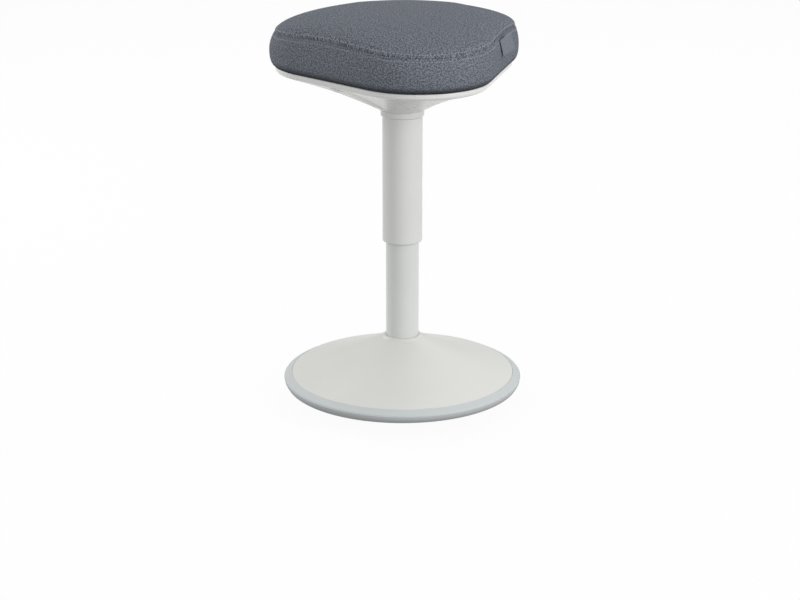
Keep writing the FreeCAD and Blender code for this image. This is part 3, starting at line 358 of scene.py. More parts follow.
class Tree:
    """Adds nodes to a node tree and joins them."""

    def __init__(self, tree: bpy.types.NodeTree) -> None:
        self.tree = tree

    def add(self, kind: str, sockets: dict | None = None, **settings: object) -> bpy.types.Node:
        """Adds a node, with settings for its properties and values or links for its inputs.

        Args:
            kind: the node's type.
            sockets: a value or a link for each input, by name or number.
            **settings: the node's properties.
        Returns:
            The new node.
        """
        node = self.tree.nodes.new(kind)
        for name, value in settings.items():
            setattr(node, name, value)
        for name, value in (sockets or {}).items():
            self.feed(node.inputs[name], value)
        return node

    def feed(self, socket: bpy.types.NodeSocket, value: object) -> None:
        """Links a socket to another, or sets its value.

        Args:
            socket: the input.
            value: a socket to link from, or a plain value.
        """
        if isinstance(value, bpy.types.NodeSocket):
            self.tree.links.new(value, socket)
        else:
            socket.default_value = value

    def maths(self, operation: str, *values: object) -> bpy.types.NodeSocket:
        """Adds a Math node and gives its result."""
        node = self.add("ShaderNodeMath", dict(enumerate(values)), operation=operation)
        return node.outputs[0]

    def blend(self, share: object, first: object, second: object) -> bpy.types.NodeSocket:
        """Mixes two colours and gives the result.

        Args:
            share: how much of the second colour shows, 0 to 1.
            first: the first colour.
            second: the second colour.
        Returns:
            The mixed colour.
        """
        node = self.tree.nodes.new("ShaderNodeMix")
        node.data_type = "RGBA"
        self.feed(node.inputs[0], share)
        self.feed(node.inputs[6], first)
        self.feed(node.inputs[7], second)
        return node.outputs[2]

    def ramp(self, value: object, low: float, high: float) -> bpy.types.NodeSocket:
        """Maps a value from low..high to 0..1, kept within it."""
        node = self.add("ShaderNodeMapRange", {"Value": value, "From Min": low, "From Max": high})
        return node.outputs[0]


def linear(red: float, green: float, blue: float) -> Colour:
    """A colour of the screen, 0 to 255, as linear light.

    Args:
        red: the red channel.
        green: the green channel.
        blue: the blue channel.
    Returns:
        The three channels, 0 to 1.
    """
    toe, toe_slope, offset, power = 0.04045, 12.92, 0.055, 2.4

    def light(value: float) -> float:
        """The linear light of one channel."""
        value /= 255
        return value / toe_slope if value <= toe else ((value + offset) / (1 + offset)) ** power

    return (light(red), light(green), light(blue))


def rgba(colour: Colour, scale: float = 1.0) -> tuple[float, float, float, float]:
    """A colour with full alpha, made lighter or darker by scale."""
    return tuple(min(channel * scale, 1.0) for channel in colour) + (1.0,)


def group(name: str, inputs: dict[str, tuple[str, object]], outputs: dict[str, str],
          fill: Callable[[Tree, bpy.types.Node, bpy.types.Node], None],
          kind_of_tree: str = "ShaderNodeTree") -> bpy.types.NodeTree:
    """Makes a node group.

    Args:
        name: the group's name.
        inputs: each input's kind and default value.
        outputs: each output's kind.
        fill: adds the nodes between the group's input and output nodes.
        kind_of_tree: a shader or a geometry tree.
    Returns:
        The node group.
    """
    tree = bpy.data.node_groups.new(name, kind_of_tree)
    for label, (kind, value) in inputs.items():
        socket = tree.interface.new_socket(name=label, in_out="INPUT", socket_type=kind)
        if value is not None:
            socket.default_value = value
    for label, kind in outputs.items():
        tree.interface.new_socket(name=label, in_out="OUTPUT", socket_type=kind)
    source = tree.nodes.new("NodeGroupInput")
    target = tree.nodes.new("NodeGroupOutput")
    fill(Tree(tree), source, target)
    return tree


THREAD_ROUND = 0.5
THREAD_DIVE = 0.25
THREAD_SPREAD = 1.37
THREAD_SHADES = (0.34, 0.66)
SOFT_RAMP = (0.3, 0.7)
PATCH_SCALE = 14.0


def fill_weave(tree: Tree, source: bpy.types.Node, target: bpy.types.Node) -> None:
    """A plain weave whose warp and weft threads vary in shade along their length.

    Args:
        tree: the group's tree.
        source: the node that holds the group's inputs.
        target: the node that takes the group's outputs.
    """
    threads = tree.add("ShaderNodeVectorMath", {0: source.outputs["Vector"]}, operation="SCALE")
    tree.feed(threads.inputs["Scale"], source.outputs["Threads"])
    parts = tree.add("ShaderNodeSeparateXYZ", {0: threads.outputs[0]})
    across, along = parts.outputs[0], parts.outputs[1]
    waves = [tree.maths("SINE", tree.maths("MULTIPLY", value, math.pi))
             for value in (across, along)]
    over = tree.maths("GREATER_THAN", tree.maths("MULTIPLY", *waves), 0.0)
    warp, weft = (tree.maths("ABSOLUTE", wave) for wave in waves)
    rises = []
    for own, other in ((weft, warp), (warp, weft)):
        round_top = tree.maths("POWER", own, THREAD_ROUND)
        rises.append(tree.maths("MULTIPLY", round_top, tree.maths("POWER", other, THREAD_DIVE)))
    height = tree.add("ShaderNodeMix", {0: over, 2: rises[0], 3: rises[1]})
    shades = []
    for own, other in ((across, along), (along, across)):
        slow = tree.maths("MULTIPLY", other, source.outputs["Slub"])
        place = tree.add("ShaderNodeCombineXYZ", {0: tree.maths("FLOOR", own), 1: slow})
        noise = tree.add("ShaderNodeTexNoise", {
            "Vector": place.outputs[0], "Scale": THREAD_SPREAD, "Detail": 1.0})
        shades.append(tree.ramp(noise.outputs["Fac"], *THREAD_SHADES))
    fleck = tree.add("ShaderNodeMix", {0: over, 2: shades[1], 3: shades[0]})
    tree.feed(target.inputs["Height"], height.outputs[0])
    tree.feed(target.inputs["Fleck"], fleck.outputs[0])


def fill_grain(tree: Tree, source: bpy.types.Node, target: bpy.types.Node) -> None:
    """Moulded or painted grain: a fine even texture with slow patches over it.

    Args:
        tree: the group's tree.
        source: the node that holds the group's inputs.
        target: the node that takes the group's outputs.
    """
    fine = tree.add("ShaderNodeTexNoise", {"Vector": source.outputs["Vector"], "Detail": 3.0})
    tree.feed(fine.inputs["Scale"], source.outputs["Grains"])
    slow = tree.add("ShaderNodeTexNoise", {
        "Vector": source.outputs["Vector"], "Scale": PATCH_SCALE, "Detail": 4.0})
    tree.feed(target.inputs["Height"], fine.outputs["Fac"])
    tree.feed(target.inputs["Patches"], tree.ramp(slow.outputs["Fac"], *SOFT_RAMP))


def fill_brush(tree: Tree, source: bpy.types.Node, target: bpy.types.Node) -> None:
    """Fine lines drawn out along one direction, as on turned or brushed metal and on wood.

    Args:
        tree: the group's tree.
        source: the node that holds the group's inputs.
        target: the node that takes the group's outputs.
    """
    stretched = tree.add("ShaderNodeVectorMath", {
        0: source.outputs["Vector"], 1: source.outputs["Stretch"]}, operation="MULTIPLY")
    lines = tree.add("ShaderNodeTexNoise", {
        "Vector": stretched.outputs[0], "Scale": 1.0, "Detail": 4.0})
    tree.feed(target.inputs["Lines"], tree.ramp(lines.outputs["Fac"], *SOFT_RAMP))


@dataclass(frozen=True)
class Groups:
    """The shared shader node groups."""

    weave: bpy.types.NodeTree
    grain: bpy.types.NodeTree
    brush: bpy.types.NodeTree

    @classmethod
    def make(cls) -> "Groups":
        """Builds each group once."""
        number, vector = "NodeSocketFloat", ("NodeSocketVector", None)
        return cls(
            weave=group(
                "woven_threads", {"Vector": vector, "Threads": (number, 900.0), "Slub": (number, 0.12)},
                {"Height": number, "Fleck": number}, fill_weave),
            grain=group(
                "moulded_grain", {"Vector": vector, "Grains": (number, 1500.0)},
                {"Height": number, "Patches": number}, fill_grain),
            brush=group(
                "drawn_lines", {"Vector": vector, "Stretch": vector}, {"Lines": number}, fill_brush))


class Pattern(Enum):
    """What a finish's texture is."""

    CLOTH = "cloth"
    GRAIN = "grain"
    BRUSHED = "brushed"


MELANGE = ((900.0, 0.52), (380.0, 0.28))
MELANGE_EDGES = (0.44, 0.56)
THREAD_SHARE = 0.2
GAP_EDGES = (0.1, 0.75)
# How dark the painted shade in the hollows between threads is.
GAP_PAINTED_SHADE = 0.45
# Near-black colour of the painted shade blended in at a finish's foot.
PAINTED_FOOT_SHADE = (0.008, 0.009, 0.011, 1.0)
BUMP_STRENGTH = 0.5


@dataclass(frozen=True)
class Finish:
    """How one material slot of the record looks.

    Lengths are in millimetres and scales in features per metre. The foot is painted shade: the
    height, in metres, where the colour is darkest, the height where the darkening ends, and how strong
    it is.
    """

    colour: Colour
    pattern: Pattern = Pattern.GRAIN
    second: Colour | None = None
    spread: float = 0.06
    scale: float = 1500.0
    stretch: tuple[float, float, float] = (60.0, 60.0, 2500.0)
    depth: float = 0.02
    roughness: float = 0.5
    rough_spread: float = 0.06
    metallic: float = 0.0
    sheen: float = 0.0
    coat: float = 0.0
    specular: float = 0.5
    foot: tuple[float, float, float] | None = None

    def material(self, name: str, groups: Groups) -> bpy.types.Material:
        """Builds the finish as a node material.

        Args:
            name: the material slot's name.
            groups: the shared node groups.
        Returns:
            The material.
        """
        material = bpy.data.materials.new(name)
        material.use_nodes = True
        material.node_tree.nodes.clear()
        tree = Tree(material.node_tree)
        shader = tree.add("ShaderNodeBsdfPrincipled", {
            "Metallic": self.metallic, "Sheen Weight": self.sheen, "Coat Weight": self.coat,
            "Specular IOR Level": self.specular})
        out = tree.add("ShaderNodeOutputMaterial", {"Surface": shader.outputs[0]})
        out.is_active_output = True
        base = rgba(self.colour)
        second = rgba(self.second) if self.second else rgba(self.colour, 1 - self.spread * 2)
        place = tree.add("ShaderNodeTexCoord")
        if self.pattern is Pattern.CLOTH:
            self.weave(tree, groups, shader, base, second, place)
        elif self.pattern is Pattern.BRUSHED:
            lines = tree.add("ShaderNodeGroup", node_tree=groups.brush)
            tree.feed(lines.inputs["Vector"], place.outputs["Object"])
            lines.inputs["Stretch"].default_value = self.stretch
            mask = lines.outputs["Lines"]
            tree.feed(shader.inputs["Base Color"], tree.blend(mask, second, base))
            self.finish_surface(tree, shader, mask, mask)
        else:
            grain = tree.add("ShaderNodeGroup", node_tree=groups.grain)
            tree.feed(grain.inputs["Vector"], place.outputs["Object"])
            grain.inputs["Grains"].default_value = self.scale
            mask = grain.outputs["Patches"]
            colour = self.paint_foot_shade(tree, place, tree.blend(mask, second, base))
            tree.feed(shader.inputs["Base Color"], colour)
            self.finish_surface(tree, shader, grain.outputs["Height"], mask)
        return material

    def paint_foot_shade(self, tree: Tree, place: bpy.types.Node, colour: object) -> object:
        """Paints shade into a colour where the piece turns under, darker from one height down to
        another.

        Args:
            tree: the material's tree.
            place: the node that gives coordinates.
            colour: the colour to darken.
        Returns:
            The colour with painted shade, or the same one where the finish has no painted shade at its
            foot.
        """
        if self.foot is None:
            return colour
        low, high, share = self.foot
        # Painted shade: a near-black colour blended in below the high height, strongest at the low one.
        height = tree.add("ShaderNodeSeparateXYZ", {0: place.outputs["Object"]}).outputs[2]
        dark = tree.maths("SUBTRACT", 1.0, tree.ramp(height, low, high))
        return tree.blend(tree.maths("MULTIPLY", dark, share), colour, PAINTED_FOOT_SHADE)

    def finish_surface(self, tree: Tree, shader: bpy.types.Node, height: object,
                       mask: object) -> None:
        """Feeds the roughness and the bump from the texture.

        Args:
            tree: the material's tree.
            shader: the material's shader.
            height: the texture's height.
            mask: where the surface is rougher.
        """
        spread = tree.maths("MULTIPLY", mask, self.rough_spread)
        rough = tree.maths("ADD", spread, self.roughness - self.rough_spread / 2)
        tree.feed(shader.inputs["Roughness"], rough)
        bump = tree.add("ShaderNodeBump", {
            "Strength": BUMP_STRENGTH, "Distance": self.depth * MM, "Height": height})
        tree.feed(shader.inputs["Normal"], bump.outputs[0])

    def weave(self, tree: Tree, groups: Groups, shader: bpy.types.Node, base: tuple, second: tuple,
              place: bpy.types.Node) -> None:
        """Feeds colour, roughness and bump from woven threads laid out on the cloth's own map, with
        painted shade in the hollows between threads.

        Args:
            tree: the material's tree.
            groups: the shared node groups.
            shader: the material's shader.
            base: the lightest colour.
            second: the darkest colour.
            place: the node that gives coordinates.
        """
        threads = tree.add("ShaderNodeGroup", node_tree=groups.weave)
        tree.feed(threads.inputs["Vector"], place.outputs["UV"])
        threads.inputs["Threads"].default_value = self.scale
        shade = tree.maths("MULTIPLY", threads.outputs["Fleck"], THREAD_SHARE)
        for grains, share in MELANGE:
            noise = tree.add("ShaderNodeTexNoise", {
                "Vector": place.outputs["UV"], "Scale": grains, "Detail": 1.0})
            fleck = tree.maths("MULTIPLY", tree.ramp(noise.outputs["Fac"], *MELANGE_EDGES), share)
            shade = tree.maths("ADD", shade, fleck)
        # Painted shade: the colour darkens where the weave's height is low, between threads.
        gap = tree.ramp(threads.outputs["Height"], *GAP_EDGES)
        colour = tree.blend(shade, second, base)
        colour = tree.blend(gap, rgba(self.second or self.colour, GAP_PAINTED_SHADE), colour)
        tree.feed(shader.inputs["Base Color"], self.paint_foot_shade(tree, place, colour))
        self.finish_surface(tree, shader, threads.outputs["Height"], shade)


FABRIC_DARK = linear(38, 44, 53)
FABRIC_LIGHT = linear(166, 172, 184)

FINISHES: dict[str, Finish] = {
    # The fabric's foot is painted shade, darker where the cover turns under onto the pan.
    "seat_fabric": Finish(
        FABRIC_LIGHT, Pattern.CLOTH, FABRIC_DARK, scale=1100.0, depth=0.35, roughness=0.9,
        specular=0.12, foot=(0.517, 0.527, 0.88)),
    "thread": Finish(
        linear(158, 163, 172), spread=0.1, scale=2400.0, depth=0.05, roughness=0.7, sheen=0.1),
    # Dark beads in the seam's groove: partly its stitching thread, partly painted shade of the groove.
    "seam_thread": Finish(
        linear(48, 52, 59), spread=0.1, scale=2400.0, depth=0.05, roughness=0.8),
    "label_fabric": Finish(
        linear(134, 139, 149), Pattern.CLOTH, linear(104, 109, 120), scale=2600.0, depth=0.12,
        roughness=0.6, sheen=0.1, specular=0.35),
    "cover_plastic": Finish(
        linear(219, 219, 216), spread=0.012, scale=1800.0, roughness=0.42),
    "pan_plastic": Finish(
        linear(232, 233, 231), spread=0.012, scale=1800.0, depth=0.015, roughness=0.26, specular=0.6),
    "lever_plastic": Finish(
        linear(232, 233, 231), spread=0.012, scale=1800.0, depth=0.015, roughness=0.34),
    "sleeve_plastic": Finish(
        linear(221, 222, 219), spread=0.012, scale=1800.0, depth=0.015, roughness=0.38),
    "column_paint": Finish(
        linear(217, 219, 216), spread=0.01, scale=900.0, depth=0.01, roughness=0.34, coat=0.3),
    # The ring's foot is painted shade, darker down its side towards the floor.
    "rim_rubber": Finish(
        linear(202, 207, 208), spread=0.02, scale=1300.0, depth=0.05, roughness=0.6,
        foot=(0.024, 0.037, 0.3)),
    "sole_rubber": Finish(
        linear(86, 88, 92), spread=0.12, scale=900.0, depth=0.08, roughness=0.8),
    "shell_plastic": Finish(
        linear(120, 124, 128), spread=0.05, depth=0.05, roughness=0.55),
    "foam": Finish(
        linear(226, 214, 178), scale=700.0, depth=0.5, roughness=0.95),
    "plywood": Finish(
        linear(203, 172, 128), Pattern.BRUSHED, linear(158, 120, 78),
        stretch=(9.0, 160.0, 900.0), depth=0.12, roughness=0.7),
    "black_steel": Finish(
        linear(40, 41, 44), spread=0.15, scale=900.0, depth=0.03, roughness=0.45, metallic=0.2),
    "zinc_steel": Finish(
        linear(186, 190, 196), Pattern.BRUSHED, linear(150, 154, 160),
        stretch=(420.0, 420.0, 420.0), roughness=0.34, metallic=1.0),
    "rod_chrome": Finish(
        linear(214, 216, 220), Pattern.BRUSHED, linear(196, 198, 203), depth=0.004,
        roughness=0.12, metallic=1.0),
    "weight_iron": Finish(
        linear(74, 74, 76), spread=0.2, scale=420.0, depth=0.35, roughness=0.7, metallic=0.6),
    "natural_nylon": Finish(
        linear(232, 228, 214), spread=0.03, scale=1200.0, depth=0.03, roughness=0.42),
    "black_rubber": Finish(
        linear(34, 34, 36), spread=0.15, scale=1100.0, depth=0.06, roughness=0.72),
}


class Wardrobe:
    """Makes each finish once and puts it on pieces."""

    def __init__(self) -> None:
        self.groups = Groups.make()
        self.made: dict[str, bpy.types.Material] = {}

    def material(self, slot: str) -> bpy.types.Material:
        """The material of a slot, made the first time that it is asked for."""
        if slot not in self.made:
            self.made[slot] = FINISHES[slot].material("finish_" + slot, self.groups)
        return self.made[slot]

    def dress(self, piece: bpy.types.Object, slot: str, body: str, *nodes: str,
              finish: str = "") -> bpy.types.Object:
        """Gives a new piece its material, its body and the CAD nodes it stands for.

        Args:
            piece: the new piece.
            slot: the material slot that it fills.
            body: the body that it moves with.
            *nodes: the CAD nodes that it replaces.
            finish: the finish, where it isn't the slot's own.
        Returns:
            The same piece.
        """
        piece.data.materials.clear()
        piece.data.materials.append(self.material(finish or slot))
        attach(piece, body)
        if nodes:
            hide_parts(*nodes)
        log.info("%s: %d faces on %s", piece.name, len(piece.data.polygons), body)
        return piece

    def dress_nodes(self) -> None:
        """Gives every CAD node the procedural material of its slot."""
        slots = {node: entry["slot"] for entry in frame["record"]["materials"]
                 for node in entry.get("nodes", [])}
        for name, node in frame["nodes"].items():
            slot = slots.get(name) or node.data.materials[0].name.split(".")[0]
            for index in range(max(len(node.data.materials), 1)):
                if node.data.materials:
                    node.data.materials[index] = self.material(slot)
                else:
                    node.data.materials.append(self.material(slot))
            log.info("%s wears %s", name, slot)


# Repeats

def fill_stitches(tree: Tree, source: bpy.types.Node, target: bpy.types.Node) -> None:
    """Lays one bead of thread after another along a path, each turned the way that the path runs.

    Args:
        tree: the group's tree.
        source: the node that holds the group's inputs.
        target: the node that takes the group's outputs.
    """
    path = tree.add("GeometryNodeMeshToCurve", {"Mesh": source.outputs["Geometry"]})
    points = tree.add("GeometryNodeCurveToPoints", {"Curve": path.outputs[0]}, mode="LENGTH")
    tree.feed(points.inputs["Length"], source.outputs["Pitch"])
    bead = tree.add("GeometryNodeMeshUVSphere", {"Segments": 6, "Rings": 5, "Radius": 1.0})
    thread = tree.add("GeometryNodeTransform", {
        "Geometry": bead.outputs[0], "Scale": source.outputs["Size"]})
    turned = tree.add("FunctionNodeAlignRotationToVector", {
        "Vector": points.outputs["Tangent"]}, axis="X")
    placed = tree.add("GeometryNodeInstanceOnPoints", {
        "Points": points.outputs["Points"], "Instance": thread.outputs[0],
        "Rotation": turned.outputs[0]})
    finish_repeat(tree, placed.outputs[0], source, target)


def fill_copies(tree: Tree, source: bpy.types.Node, target: bpy.types.Node) -> None:
    """Puts a copy of a part at each point, turned away from the column's axis.

    Args:
        tree: the group's tree.
        source: the node that holds the group's inputs.
        target: the node that takes the group's outputs.
    """
    part = tree.add("GeometryNodeObjectInfo", {
        "Object": source.outputs["Part"], "As Instance": True})
    place = tree.add("GeometryNodeInputPosition")
    level = tree.add("ShaderNodeVectorMath", {
        0: place.outputs[0], 1: (1.0, 1.0, 0.0)}, operation="MULTIPLY")
    turned = tree.add("FunctionNodeAlignRotationToVector", {"Vector": level.outputs[0]}, axis="X")
    placed = tree.add("GeometryNodeInstanceOnPoints", {
        "Points": source.outputs["Geometry"], "Instance": part.outputs["Geometry"],
        "Rotation": turned.outputs[0]})
    finish_repeat(tree, placed.outputs[0], source, target)


def finish_repeat(tree: Tree, placed: bpy.types.NodeSocket, source: bpy.types.Node,
                  target: bpy.types.Node) -> None:
    """Makes the copies real and gives them their material.

    Args:
        tree: the group's tree.
        placed: the copies as instances.
        source: the node that holds the group's inputs.
        target: the node that takes the group's outputs.
    """
    real = tree.add("GeometryNodeRealizeInstances", {"Geometry": placed})
    coat = tree.add("GeometryNodeSetMaterial", {
        "Geometry": real.outputs[0], "Material": source.outputs["Material"]})
    tree.feed(target.inputs["Geometry"], coat.outputs[0])


class Repeats:
    """Makes rows of stitches and sets of equal parts with Geometry Nodes."""

    def __init__(self) -> None:
        shape, number = "NodeSocketGeometry", "NodeSocketFloat"
        shared = {"Geometry": (shape, None), "Material": ("NodeSocketMaterial", None)}
        self.stitches = group(
            "stitch_row", shared | {"Pitch": (number, 0.004), "Size": ("NodeSocketVector", None)},
            {"Geometry": shape}, fill_stitches, "GeometryNodeTree")
        self.copies = group(
            "equal_parts", shared | {"Part": ("NodeSocketObject", None)}, {"Geometry": shape},
            fill_copies, "GeometryNodeTree")

    def run(self, name: str, places: Array, closed: bool, tree: bpy.types.NodeTree,
            values: dict[str, object]) -> bpy.types.Object:
        """Runs a node group on a set of points and keeps its mesh.

        Args:
            name: the new object's name.
            places: the points, in metres.
            closed: whether edges join the points into a closed path.
            tree: the node group.
            values: the group's inputs, by name.
        Returns:
            The new object.
        """
        count = len(places)
        edges = [(index, (index + 1) % count) for index in range(count)] if closed else []
        mesh = bpy.data.meshes.new(name)
        mesh.from_pydata([tuple(place) for place in places], edges, [])
        piece = link(name, mesh)
        modifier = piece.modifiers.new("repeat", "NODES")
        modifier.node_group = tree
        for item in tree.interface.items_tree:
            if item.in_out == "INPUT" and item.name in values:
                modifier[item.identifier] = values[item.name]
        return smooth(applied(piece))

    def stitch(self, name: str, path: Array, pitch: float, size: tuple[float, float, float],
               material: bpy.types.Material) -> bpy.types.Object:
        """A closed row of stitches, with pitch and the bead's half lengths in millimetres.

        Args:
            name: the row's name.
            path: points along the row, in metres.
            pitch: the distance from stitch to stitch.
            size: the half lengths of a stitch.
            material: the thread's material.
        Returns:
            The new object.
        """
        return self.run(name, path, True, self.stitches, {
            "Pitch": pitch * MM, "Size": tuple(length * MM for length in size),
            "Material": material})

    def copy(self, name: str, part: bpy.types.Object, places: Array,
             material: bpy.types.Material) -> bpy.types.Object:
        """Copies of a part at each place; the part itself is used up.

        Args:
            name: the new object's name.
            part: the part, which is used up.
            places: where its copies go, in metres.
            material: their material.
        Returns:
            The new object.
        """
        piece = self.run(name, places, False, self.copies, {"Part": part, "Material": material})
        bpy.data.objects.remove(part)
        return piece


# Sub-assemblies

def grid_normals(points: Array) -> Array:
    """Outward normals of a grid of rings by columns.

    Args:
        points: an array of rings by columns by three.
    Returns:
        A unit vector for each point.
    """
    along = np.gradient(points, axis=0)
    around = np.roll(points, -1, axis=1) - np.roll(points, 1, axis=1)
    normal = np.cross(around, along)
    return normal / np.maximum(np.linalg.norm(normal, axis=2, keepdims=True), 1e-12)


@dataclass(frozen=True)
class StitchRow:
    """A row of stitches: its distance from the seam, its pitch and half sizes, in millimetres."""

    name: str
    offset: float
    pitch: float = 5.2
    half: float = 1.6
    finish: str = "thread"
    thick: float = 0.6


@dataclass
class Cushion:
    """The padded seat: a crowned top panel and a side panel, joined by a top-stitched seam.

    Each plan is the distance from the axis to its flats and to its corners, in millimetres.
    """

    foot: float = 515.6
    widest: float = 540.0
    crown: float = 602.0
    seam: float = 569.5
    seam_dip: float = 4.0
    foot_plan: tuple[float, float] = (143.6, 188.1)
    widest_plan: tuple[float, float] = (157.0, 201.0)
    seam_plan: tuple[float, float] = (152.6, 192.3)
    well_plan: tuple[float, float] = (141.4, 185.9)
    well_top: float = 529.0
    roll_power: float = 2.6
    fullness: float = 2.5
    edge_power: float = 0.42
    corner_fade: float = 1.6
    around: int = 216
    side_rings: int = 30
    crown_rings: int = 50
    seam_crowding: float = 16.0
    seam_reach: float = 7.0
    groove: float = 1.25
    groove_width: float = 1.0
    swell: float = 0.15
    stitch_offset: float = 6.0
    stitch_dip: float = 0.35
    stitch_dip_width: float = 1.6
    swell_width: float = 1.5
    puff: float = 1.2
    pressure: float = 4.0
    stiffness: float = 25.0
    bending: float = 4.0
    cloth_frames: int = 20

    def local(self) -> Array:
        """Directions of the mesh's columns from the front corner."""
        return np.arange(self.around) * math.tau / self.around

    def seam_heights(self) -> Array:
        """Height of the seam in each direction: it dips at the three corners."""
        return self.seam - self.seam_dip * np.cos(3 * self.local())

    def well_rings(self) -> list[tuple[Array, Array]]:
        """Heights and radii of the underside, which turns up round the board.

        Returns:
            The rings, from the inside out.
        """
        side, corner = self.well_plan
        steps = ((self.well_top, 0.0), (self.foot + 1.0, 0.0), (self.foot + 0.2, 0.6))
        return [(np.full(self.around, height), reach(self.local(), side + out, corner + out))
                for height, out in steps]

    def side_ring(self, rise: float, inset: float) -> tuple[Array, Array]:
        """Heights and radii of one ring of the side.

        Args:
            rise: -1 at the foot, 0 at the widest and 1 at the seam.
            inset: how far inside the finished cover the ring lies.
        Returns:
            The ring's heights and its distances from the axis.
        """
        wide_side, wide_corner = self.widest_plan
        if rise < 0:
            pull = 1 - max(1 - abs(rise) ** self.roll_power, 0.0) ** (1 / self.roll_power)
            height = np.full(self.around, self.widest + (self.widest - self.foot) * rise)
            target = self.foot_plan
        else:
            pull = rise * rise
            height = self.widest + (self.seam_heights() - self.widest) * rise
            target = self.seam_plan
        side = wide_side + (target[0] - wide_side) * pull
        corner = wide_corner + (target[1] - wide_corner) * pull
        return height, reach(self.local(), side - inset, corner - inset)

    def crown_ring(self, rise: float, inset: float) -> tuple[Array, Array]:
        """Heights and radii of one ring of the crown: rise is 0 at the seam and 1 at the top.

        Args:
            rise: 0 at the seam and 1 at the top.
            inset: how far inside the finished cover the ring lies.
        Returns:
            The ring's heights and its distances from the axis.
        """
        spread = max(1 - rise ** self.fullness, 0.0) ** self.edge_power
        side = (self.seam_plan[0] - inset) * spread
        corner = side + (self.seam_plan[1] - self.seam_plan[0]) * (1 - rise ** self.corner_fade)
        height = self.seam_heights() + (self.crown - inset - self.seam_heights()) * rise
        return height, reach(self.local(), max(side, 0.01), max(corner, 0.01))

    def spaced_rises(self, ring: Callable[[float, float], tuple[Array, Array]], start: float,
                     count: int) -> list[float]:
        """Rises that space the rings along the surface, crowded at the seam.

        Args:
            ring: side_ring or crown_ring.
            start: the first rise.
            count: how many rings there are.
        Returns:
            The rises, from start to 1.
        """
        dense = np.linspace(start, 1.0, 1200)
        flat = self.around // 6
        track = np.array([[height[flat], radius[flat]]
                          for height, radius in (ring(value, 0.0) for value in dense)])
        run = np.concatenate(([0.0], np.cumsum(np.hypot(*np.diff(track, axis=0).T))))
        from_seam = run[-1] - run if start < 0 else run
        sign = -1.0 if start < 0 else 1.0
        measure = run - sign * self.seam_crowding * np.exp(-from_seam / self.seam_reach)
        return [float(np.interp(value, measure, dense))
                for value in np.linspace(measure[0], measure[-1], count)]

    def surface(self, inset: float) -> tuple[Array, int]:
        """Points of the whole cover, from the well to the top, and the number of the seam's ring.

        Args:
            inset: how far inside the finished cover the points lie.
        Returns:
            The rings of points in metres, and the number of the seam's ring.
        """
        wells = self.well_rings()
        sides = [self.side_ring(rise, inset)
                 for rise in self.spaced_rises(self.side_ring, -1.0, self.side_rings)]
        crowns = [self.crown_ring(rise, inset)
                  for rise in self.spaced_rises(self.crown_ring, 0.0, self.crown_rings)[1:-1]]
        world = self.local() + SEAT_TURN
        points = np.zeros((len(wells) + len(sides) + len(crowns), self.around, 3))
        for index, (height, radius) in enumerate(wells + sides + crowns):
            across, along = radius * np.cos(world), radius * np.sin(world)
            points[index] = np.column_stack((across, along, height)) * MM
        return points, len(wells) + len(sides) - 1

    def map_cloth(self, mesh: bpy.types.Mesh, points: Array, seam_ring: int) -> None:
        """Lays the two panels out flat in the cloth's own map, in metres.

        Args:
            mesh: the cover's mesh.
            points: the cover's rings of points, in metres.
            seam_ring: the number of the seam's ring.
        """
        around = self.around
        edge = points[seam_ring]
        lengths = np.linalg.norm(np.roll(edge, -1, axis=0) - edge, axis=1)
        along = np.concatenate(([0.0], np.cumsum(lengths)))
        loops = np.zeros(len(mesh.loops), dtype=int)
        mesh.loops.foreach_get("vertex_index", loops)
        starts = np.zeros(len(mesh.polygons), dtype=int)
        mesh.polygons.foreach_get("loop_start", starts)
        sizes = np.diff(np.append(starts, len(loops)))
        places = np.zeros(len(mesh.vertices) * 3)
        mesh.vertices.foreach_get("co", places)
        places = places.reshape(-1, 3)[loops]
        face_of = np.repeat(np.arange(len(starts)), sizes)
        ring, column = loops // around, loops % around
        above = np.maximum.reduceat((ring > seam_ring).astype(int), starts)[face_of] > 0
        span = np.maximum.reduceat(column, starts) - np.minimum.reduceat(column, starts)
        wraps = (span[face_of] > around // 2) & (column < around // 2)
        column = np.where(wraps, column + around, column)
        flat = np.column_stack((along[np.minimum(column, around)], places[:, 2]))
        layer = mesh.uv_layers.new(name="cloth")
        layer.data.foreach_set("uv", np.where(above[:, None], places[:, :2], flat).ravel())

    def build(self) -> tuple[bpy.types.Object, Array, int]:
        """Makes the cover, puffs it up as cloth and draws in its seam.

        Returns:
            The cover, the points that its threads follow and the number of the seam's ring.
        """
        points, seam_ring = self.surface(self.puff)
        target, _ = self.surface(0.0)
        piece = weave_rings("seat_cushion", points)
        self.map_cloth(piece.data, points, seam_ring)
        found = self.inflate(piece, points, seam_ring)
        settled = self.settle(found, target)
        sewn = settled - grid_normals(settled) * self.pull(settled, seam_ring)[..., None] * MM
        caps = np.zeros(len(piece.data.vertices) * 3)
        piece.data.vertices.foreach_get("co", caps)
        caps[:sewn.size] = sewn.ravel()
        caps[-1] = self.crown * MM
        piece.data.vertices.foreach_set("co", caps)
        piece.data.update()
        refine = piece.modifiers.new("refine", "SUBSURF")
        refine.levels = refine.render_levels = 1
        return smooth(applied(piece), 60.0), sewn, seam_ring

    def settle(self, found: Array, target: Array) -> Array:
        """Keeps the puffed cover's points within the cap around the target.

        Args:
            found: where the points came to rest.
            target: the finished form.
        Returns:
            The points, each near its place in the finished form.
        """
        shift = found - target
        length = np.linalg.norm(shift, axis=2, keepdims=True)
        return target + shift * np.minimum(1.0, self.puff * MM / np.maximum(length, NEARLY_ZERO))

